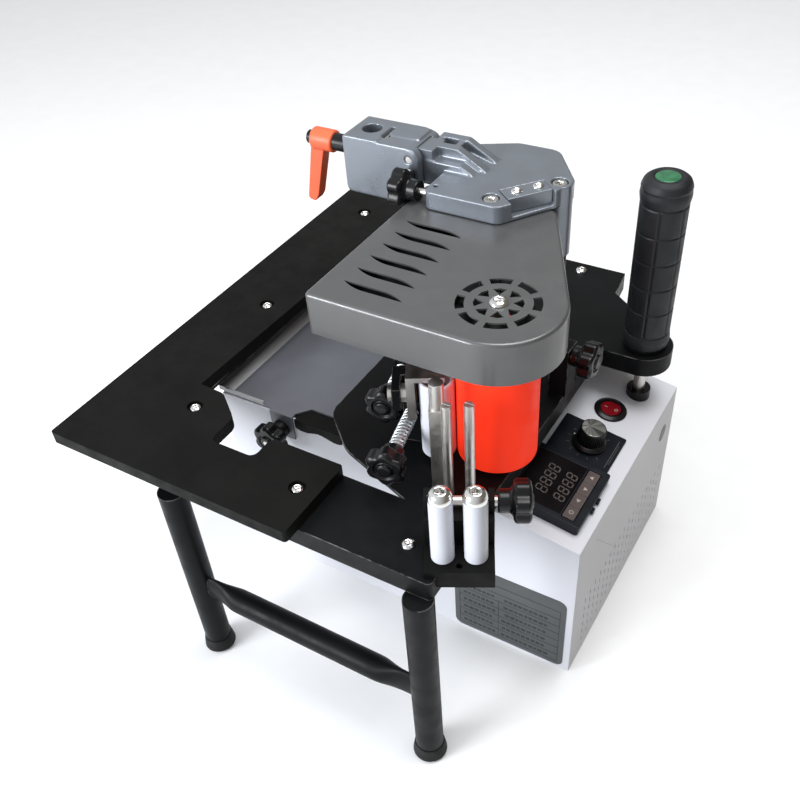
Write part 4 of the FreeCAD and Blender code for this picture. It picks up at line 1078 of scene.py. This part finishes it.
def make_controller():
    """Panel controller: bezel, dark window with eights, and a strip of four keys."""
    wide, deep, tall, key_x = 63, 64, 9, 20
    window_x, window_wide, window_deep, fit = -7, 40, 54, 0.4
    middle_y = middle_of(span("temperature_controller")).y
    key_row = sum((middle_of(span(node)) for node in KEY_TIPS), Vector()) / len(KEY_TIPS)
    centre = (Vector((key_row.x, middle_y, key_row.z)) - DOWNHILL * key_x
              - CONSOLE_UP * (tall - 1.5))
    local = on_console(centre)
    window = plate(window_wide, window_deep, tall - 1.1, tall + 1, 1, (window_x, 0))
    pocket = plate(10.6, 55.2, tall - 4.6, tall + 1, 1, (key_x, 0))
    bezel = softened(carved(plate(wide, deep, -1, tall, 2.5), window, pocket), 0.6, 3)
    clips = [softened(block((wide / 2 - 0.3, y - 2.4, 1.2), (wide / 2 + 2.2, y + 2.4, 4.2)), 0.4, 2)
             for y in (-4.5, 6.5)]
    finish_piece("controller_case", moved(merged(bezel, *clips), local),
                 "controller_black", stands_for=["temperature_controller"])
    glass = plate(window_wide - fit, window_deep - fit, tall - 1.3, tall - 0.5, 0.8,
                  (window_x, 0))
    finish_piece("controller_window", moved(softened(glass, 0.15, 2), local), "window_black",
                 like="temperature_controller")
    level, pitch = tall - 0.5, 8.2
    # two rows of eights: the place of the first, then width, height and stroke
    rows = ((-4.4, -14.5, 5.2, 9, 1.05), (10.5, -15, 4.9, 8.4, 1))
    digits = [digit((x, y + pitch * k), across, high, level, thick)
              for x, y, across, high, thick in rows for k in range(4)]
    finish_piece("controller_digits", moved(merged(*digits), local), "digit_brown",
                 like="temperature_controller")
    mark_low, mark_size = tall - 0.35, 2.1
    for node, tip in KEY_TIPS.items():
        spot = Vector((key_x, middle_of(span(node)).y - middle_y, 0))
        key = softened(plate(9.6, 13.3, tall - 3.4, tall - 0.3, 0.8, spot.xy), 0.3, 2)
        finish_piece(f"{node}_face", moved(key, local), "key_brown", stands_for=[node])
        if tip is None:
            mark = turned(eased([(0, 1.3), (0, 1.9), (0.15, 1.9), (0.15, 1.3)], 0.05, 2),
                          spot + UP * mark_low, loop=True, count=32)
        else:
            mark = prism([(spot + polar(mark_size, tip + third * 2 * math.pi / 3)).xy
                          for third in range(3)], mark_low, mark_low + 0.15)
        finish_piece(f"{node}_mark", moved(mark, local), "mark_cream", like=node)


def make_speed_dial():
    """Black panel with dial marks, and a knob with a bright turned disc."""
    origin, axis = joint_line("speed_dial_turn")
    above_panel = 8
    local = on_console(origin - axis * above_panel)
    side = middle_of(span("speed_panel")).y - origin.y
    panel = softened(plate(54, 46, 0, 2, 1.5, (-2, side)), 0.35, 2)
    finish_piece("speed_plate", moved(panel, local), "controller_black",
                 stands_for=["speed_panel"])
    first_angle, between, low, high = 45, 27, 2, 2.12
    ticks = [moved(block((16, -0.25, low), (18.6, 0.25, high)),
                   Matrix.Rotation(math.radians(first_angle + between * k), 4, "Z"))
             for k in range(11)]
    ticks += [block((20.5, side - 17, low), (21.1, side + 17, high)),
              block((22.1, side - 12, low), (22.5, side + 12, high))]
    finish_piece("speed_marks", moved(merged(*ticks), local), "mark_dim", like="speed_panel")
    knurls = 40

    def fluted(angle):
        return 1 - 0.02 * (1 + math.cos(knurls * angle))

    profile = [(2.4, 0), (2.4, 14), (4.6, 14), (6.2, 12), (6.6, 11.4, 1), (18.8, 10.8, 1),
               (19.8, 10.3), (19.4, 9.8), (19.4, 0)]
    finish_piece("dial_knob", turned(eased(profile, 0.5, 3), local @ Vector(), axis, fluted, 160),
                 "black_plastic", stands_for=["speed_knob"])
    disc = turned(eased([(18.8, 0), (18.8, 9.7), (20.1, 9.5), (20.2, 0)], 0.3, 3),
                  local @ Vector(), axis, count=96)
    PAINT["spun_metal"] = radial_steel(local @ Vector())
    finish_piece("dial_disc", disc, "spun_metal", like="speed_knob")
    pointer = block((-14.1, -0.6, 4.2), (-11.2, 0.6, 5.4))
    finish_piece("dial_pointer", moved(softened(pointer, 0.2, 2), local), "mark_white",
                 like="speed_knob")


def radial_steel(centre):
    """Bright spun metal; rays of lighter and darker colour round its centre are painted sheen."""
    nodes = Nodes("spun_metal")
    spot = (centre + CORNER) * MM
    local = nodes.add("ShaderNodeVectorMath", operation="SUBTRACT")
    nodes.link(nodes.place, local.inputs[0])
    local.inputs[1].default_value = spot
    parts = nodes.add("ShaderNodeSeparateXYZ")
    nodes.link(local.outputs[0], parts.inputs[0])
    angle = nodes.add("ShaderNodeMath", operation="ARCTAN2")
    nodes.link(parts.outputs["Y"], angle.inputs[0])
    nodes.link(parts.outputs["X"], angle.inputs[1])
    sheen_rays = nodes.add("ShaderNodeTexNoise", noise_dimensions="1D")
    sheen_rays.inputs["Scale"].default_value = 1.6
    sheen_rays.inputs["Detail"].default_value = 8
    nodes.link(angle.outputs[0], sheen_rays.inputs["W"])
    # the rays are painted sheen: the metal's colour turns bright and dark round the centre
    nodes.set("Base Color", nodes.mix(nodes.spread(sheen_rays.outputs["Fac"], 0, 1, 0.4, 0.6),
                                      (0.2, 0.2, 0.19), (0.75, 0.74, 0.7)))
    nodes.set("Metallic", 1.0)
    nodes.set("Roughness", 0.28)
    return nodes.material


def make_rocker():
    """Round switch: a black collar and a red rocker with plain marks."""
    origin, _ = joint_line("power_switch_rock")
    local = on_console(origin - CONSOLE_UP * 0.5)
    collar = turned(eased([(-6, 9), (-6, 10.8), (0, 10.8), (0, 14), (1.4, 14), (3, 10.6), (2.6, 9)],
                          0.7, 4), local @ Vector(), CONSOLE_UP, count=96, loop=True)
    finish_piece("switch_collar", collar, "black_plastic", stands_for=["rocker_bezel"])
    radius = 8.5
    section = [(-radius, -3), (radius, -3), (radius, 3.4), (0, 1.7), (-radius, 2.4)]
    wedge = side_prism(section, -9, 9)
    disc = rod((0, 0, -3), radius, 8, edge=0.01, count=72)
    rocker = softened(combined(wedge, [disc], "INTERSECT"), 0.5, 3, 20)
    finish_piece("switch_rocker", moved(rocker, local), "rocker_red",
                 stands_for=["power_rocker"])
    tilt = Matrix.Rotation(-math.atan2(1.7, radius), 4, "Y")
    ring = turned(eased([(0, 1.1), (0, 1.6), (0.12, 1.6), (0.12, 1.1)], 0.04, 2),
                  Vector(), loop=True, count=32)
    ring = moved(ring, Matrix.Translation((4.6, 0, 2.65)) @ tilt)
    bar = moved(block((-1.4, -0.25, 0), (1.4, 0.25, 0.12)), Matrix.Translation((-4.4, 0, 2.08)))
    finish_piece("switch_marks", moved(merged(ring, bar), local), "mark_cream",
                 like="power_rocker")


# ---------------------------------------------------------------- studio

CAMERA_SPOT = (0.3364, -0.51775, 0.6799)
CAMERA_AZIMUTH, CAMERA_ELEVATION, CAMERA_ROLL = 34.29, 42.66, -5.0
CAMERA_LENS, CAMERA_SHIFT = 41.59, (-0.001, 0.0528)


def make_camera():
    data = bpy.data.cameras.new("camera")
    data.lens, data.shift_x, data.shift_y = CAMERA_LENS, *CAMERA_SHIFT
    camera = bpy.data.objects.new("camera", data)
    bpy.context.scene.collection.objects.link(camera)
    turn, tip, roll = (math.radians(a) for a in (CAMERA_AZIMUTH, CAMERA_ELEVATION, CAMERA_ROLL))
    camera.matrix_world = (Matrix.Translation(CAMERA_SPOT) @ Matrix.Rotation(turn, 4, "Z")
                           @ Matrix.Rotation(math.pi / 2 - tip, 4, "X")
                           @ Matrix.Rotation(roll, 4, "Z"))
    bpy.context.scene.camera = camera


def area_light(name, spot, size, power, colour=(1, 1, 1)):
    """A round soft light, in metres and watts, that shines at the machine's middle."""
    data = bpy.data.lights.new(name, "AREA")
    data.shape, data.size, data.energy, data.color = "DISK", size, power, colour
    light = bpy.data.objects.new(name, data)
    bpy.context.scene.collection.objects.link(light)
    light.location = spot
    light.rotation_mode = "QUATERNION"
    machine = Vector((0, 0, 0.2))
    light.rotation_quaternion = (machine - Vector(spot)).to_track_quat("-Z", "Y")


def make_studio():
    """Pale floor, a room brighter towards its window, and soft lights in front and above."""
    floor_reach, floor_thick = 4, 0.02
    floor = as_object(block((-floor_reach, -floor_reach, -floor_thick),
                            (floor_reach, floor_reach, 0)))
    floor.name = "floor"
    floor.data.materials.append(coating("floor", (0.93, 0.93, 0.93), 0.6, 0.01))
    floor.visible_diffuse = False
    world = bpy.data.worlds.new("room")
    world.use_nodes = True
    tree = world.node_tree
    background = tree.nodes["Background"]
    place, across, share, ramp = (tree.nodes.new(f"ShaderNode{kind}") for kind in
                                  ("TexCoord", "VectorMath", "MapRange", "ValToRGB"))
    across.operation = "DOT_PRODUCT"
    towards_window = Vector((-0.75, -0.62, 0.22)).normalized()
    across.inputs[1].default_value = towards_window
    share.inputs["From Min"].default_value = -1
    for element, position, colour in zip(ramp.color_ramp.elements, (0.2, 0.85),
                                         ((0.2, 0.18, 0.15), (0.93, 0.96, 1))):
        element.position, element.color = position, (*colour, 1)
    background.inputs["Strength"].default_value = 0.95
    for source, target in ((place.outputs["Generated"], across.inputs[0]),
                           (across.outputs["Value"], share.inputs["Value"]),
                           (share.outputs["Result"], ramp.inputs["Fac"]),
                           (ramp.outputs["Color"], background.inputs["Color"])):
        tree.links.new(source, target)
    bpy.context.scene.world = world
    area_light("window", (-0.85, -1.6, 0.8), 1.0, 38, (0.93, 0.96, 1))
    area_light("ceiling", (0.3, 0.2, 1.9), 1.2, 24)
    bpy.context.scene.view_settings.view_transform = "Standard"


dress_plain_nodes()
make_leg_stand()
make_label()
make_wall_details()
make_tray()
make_screws()
make_knobs()
make_springs()
make_rollers()
make_head_cover()
make_head_bracket()
make_clamp_block()
make_handle()
make_controller()
make_speed_dial()
make_rocker()
make_camera()
make_studio()
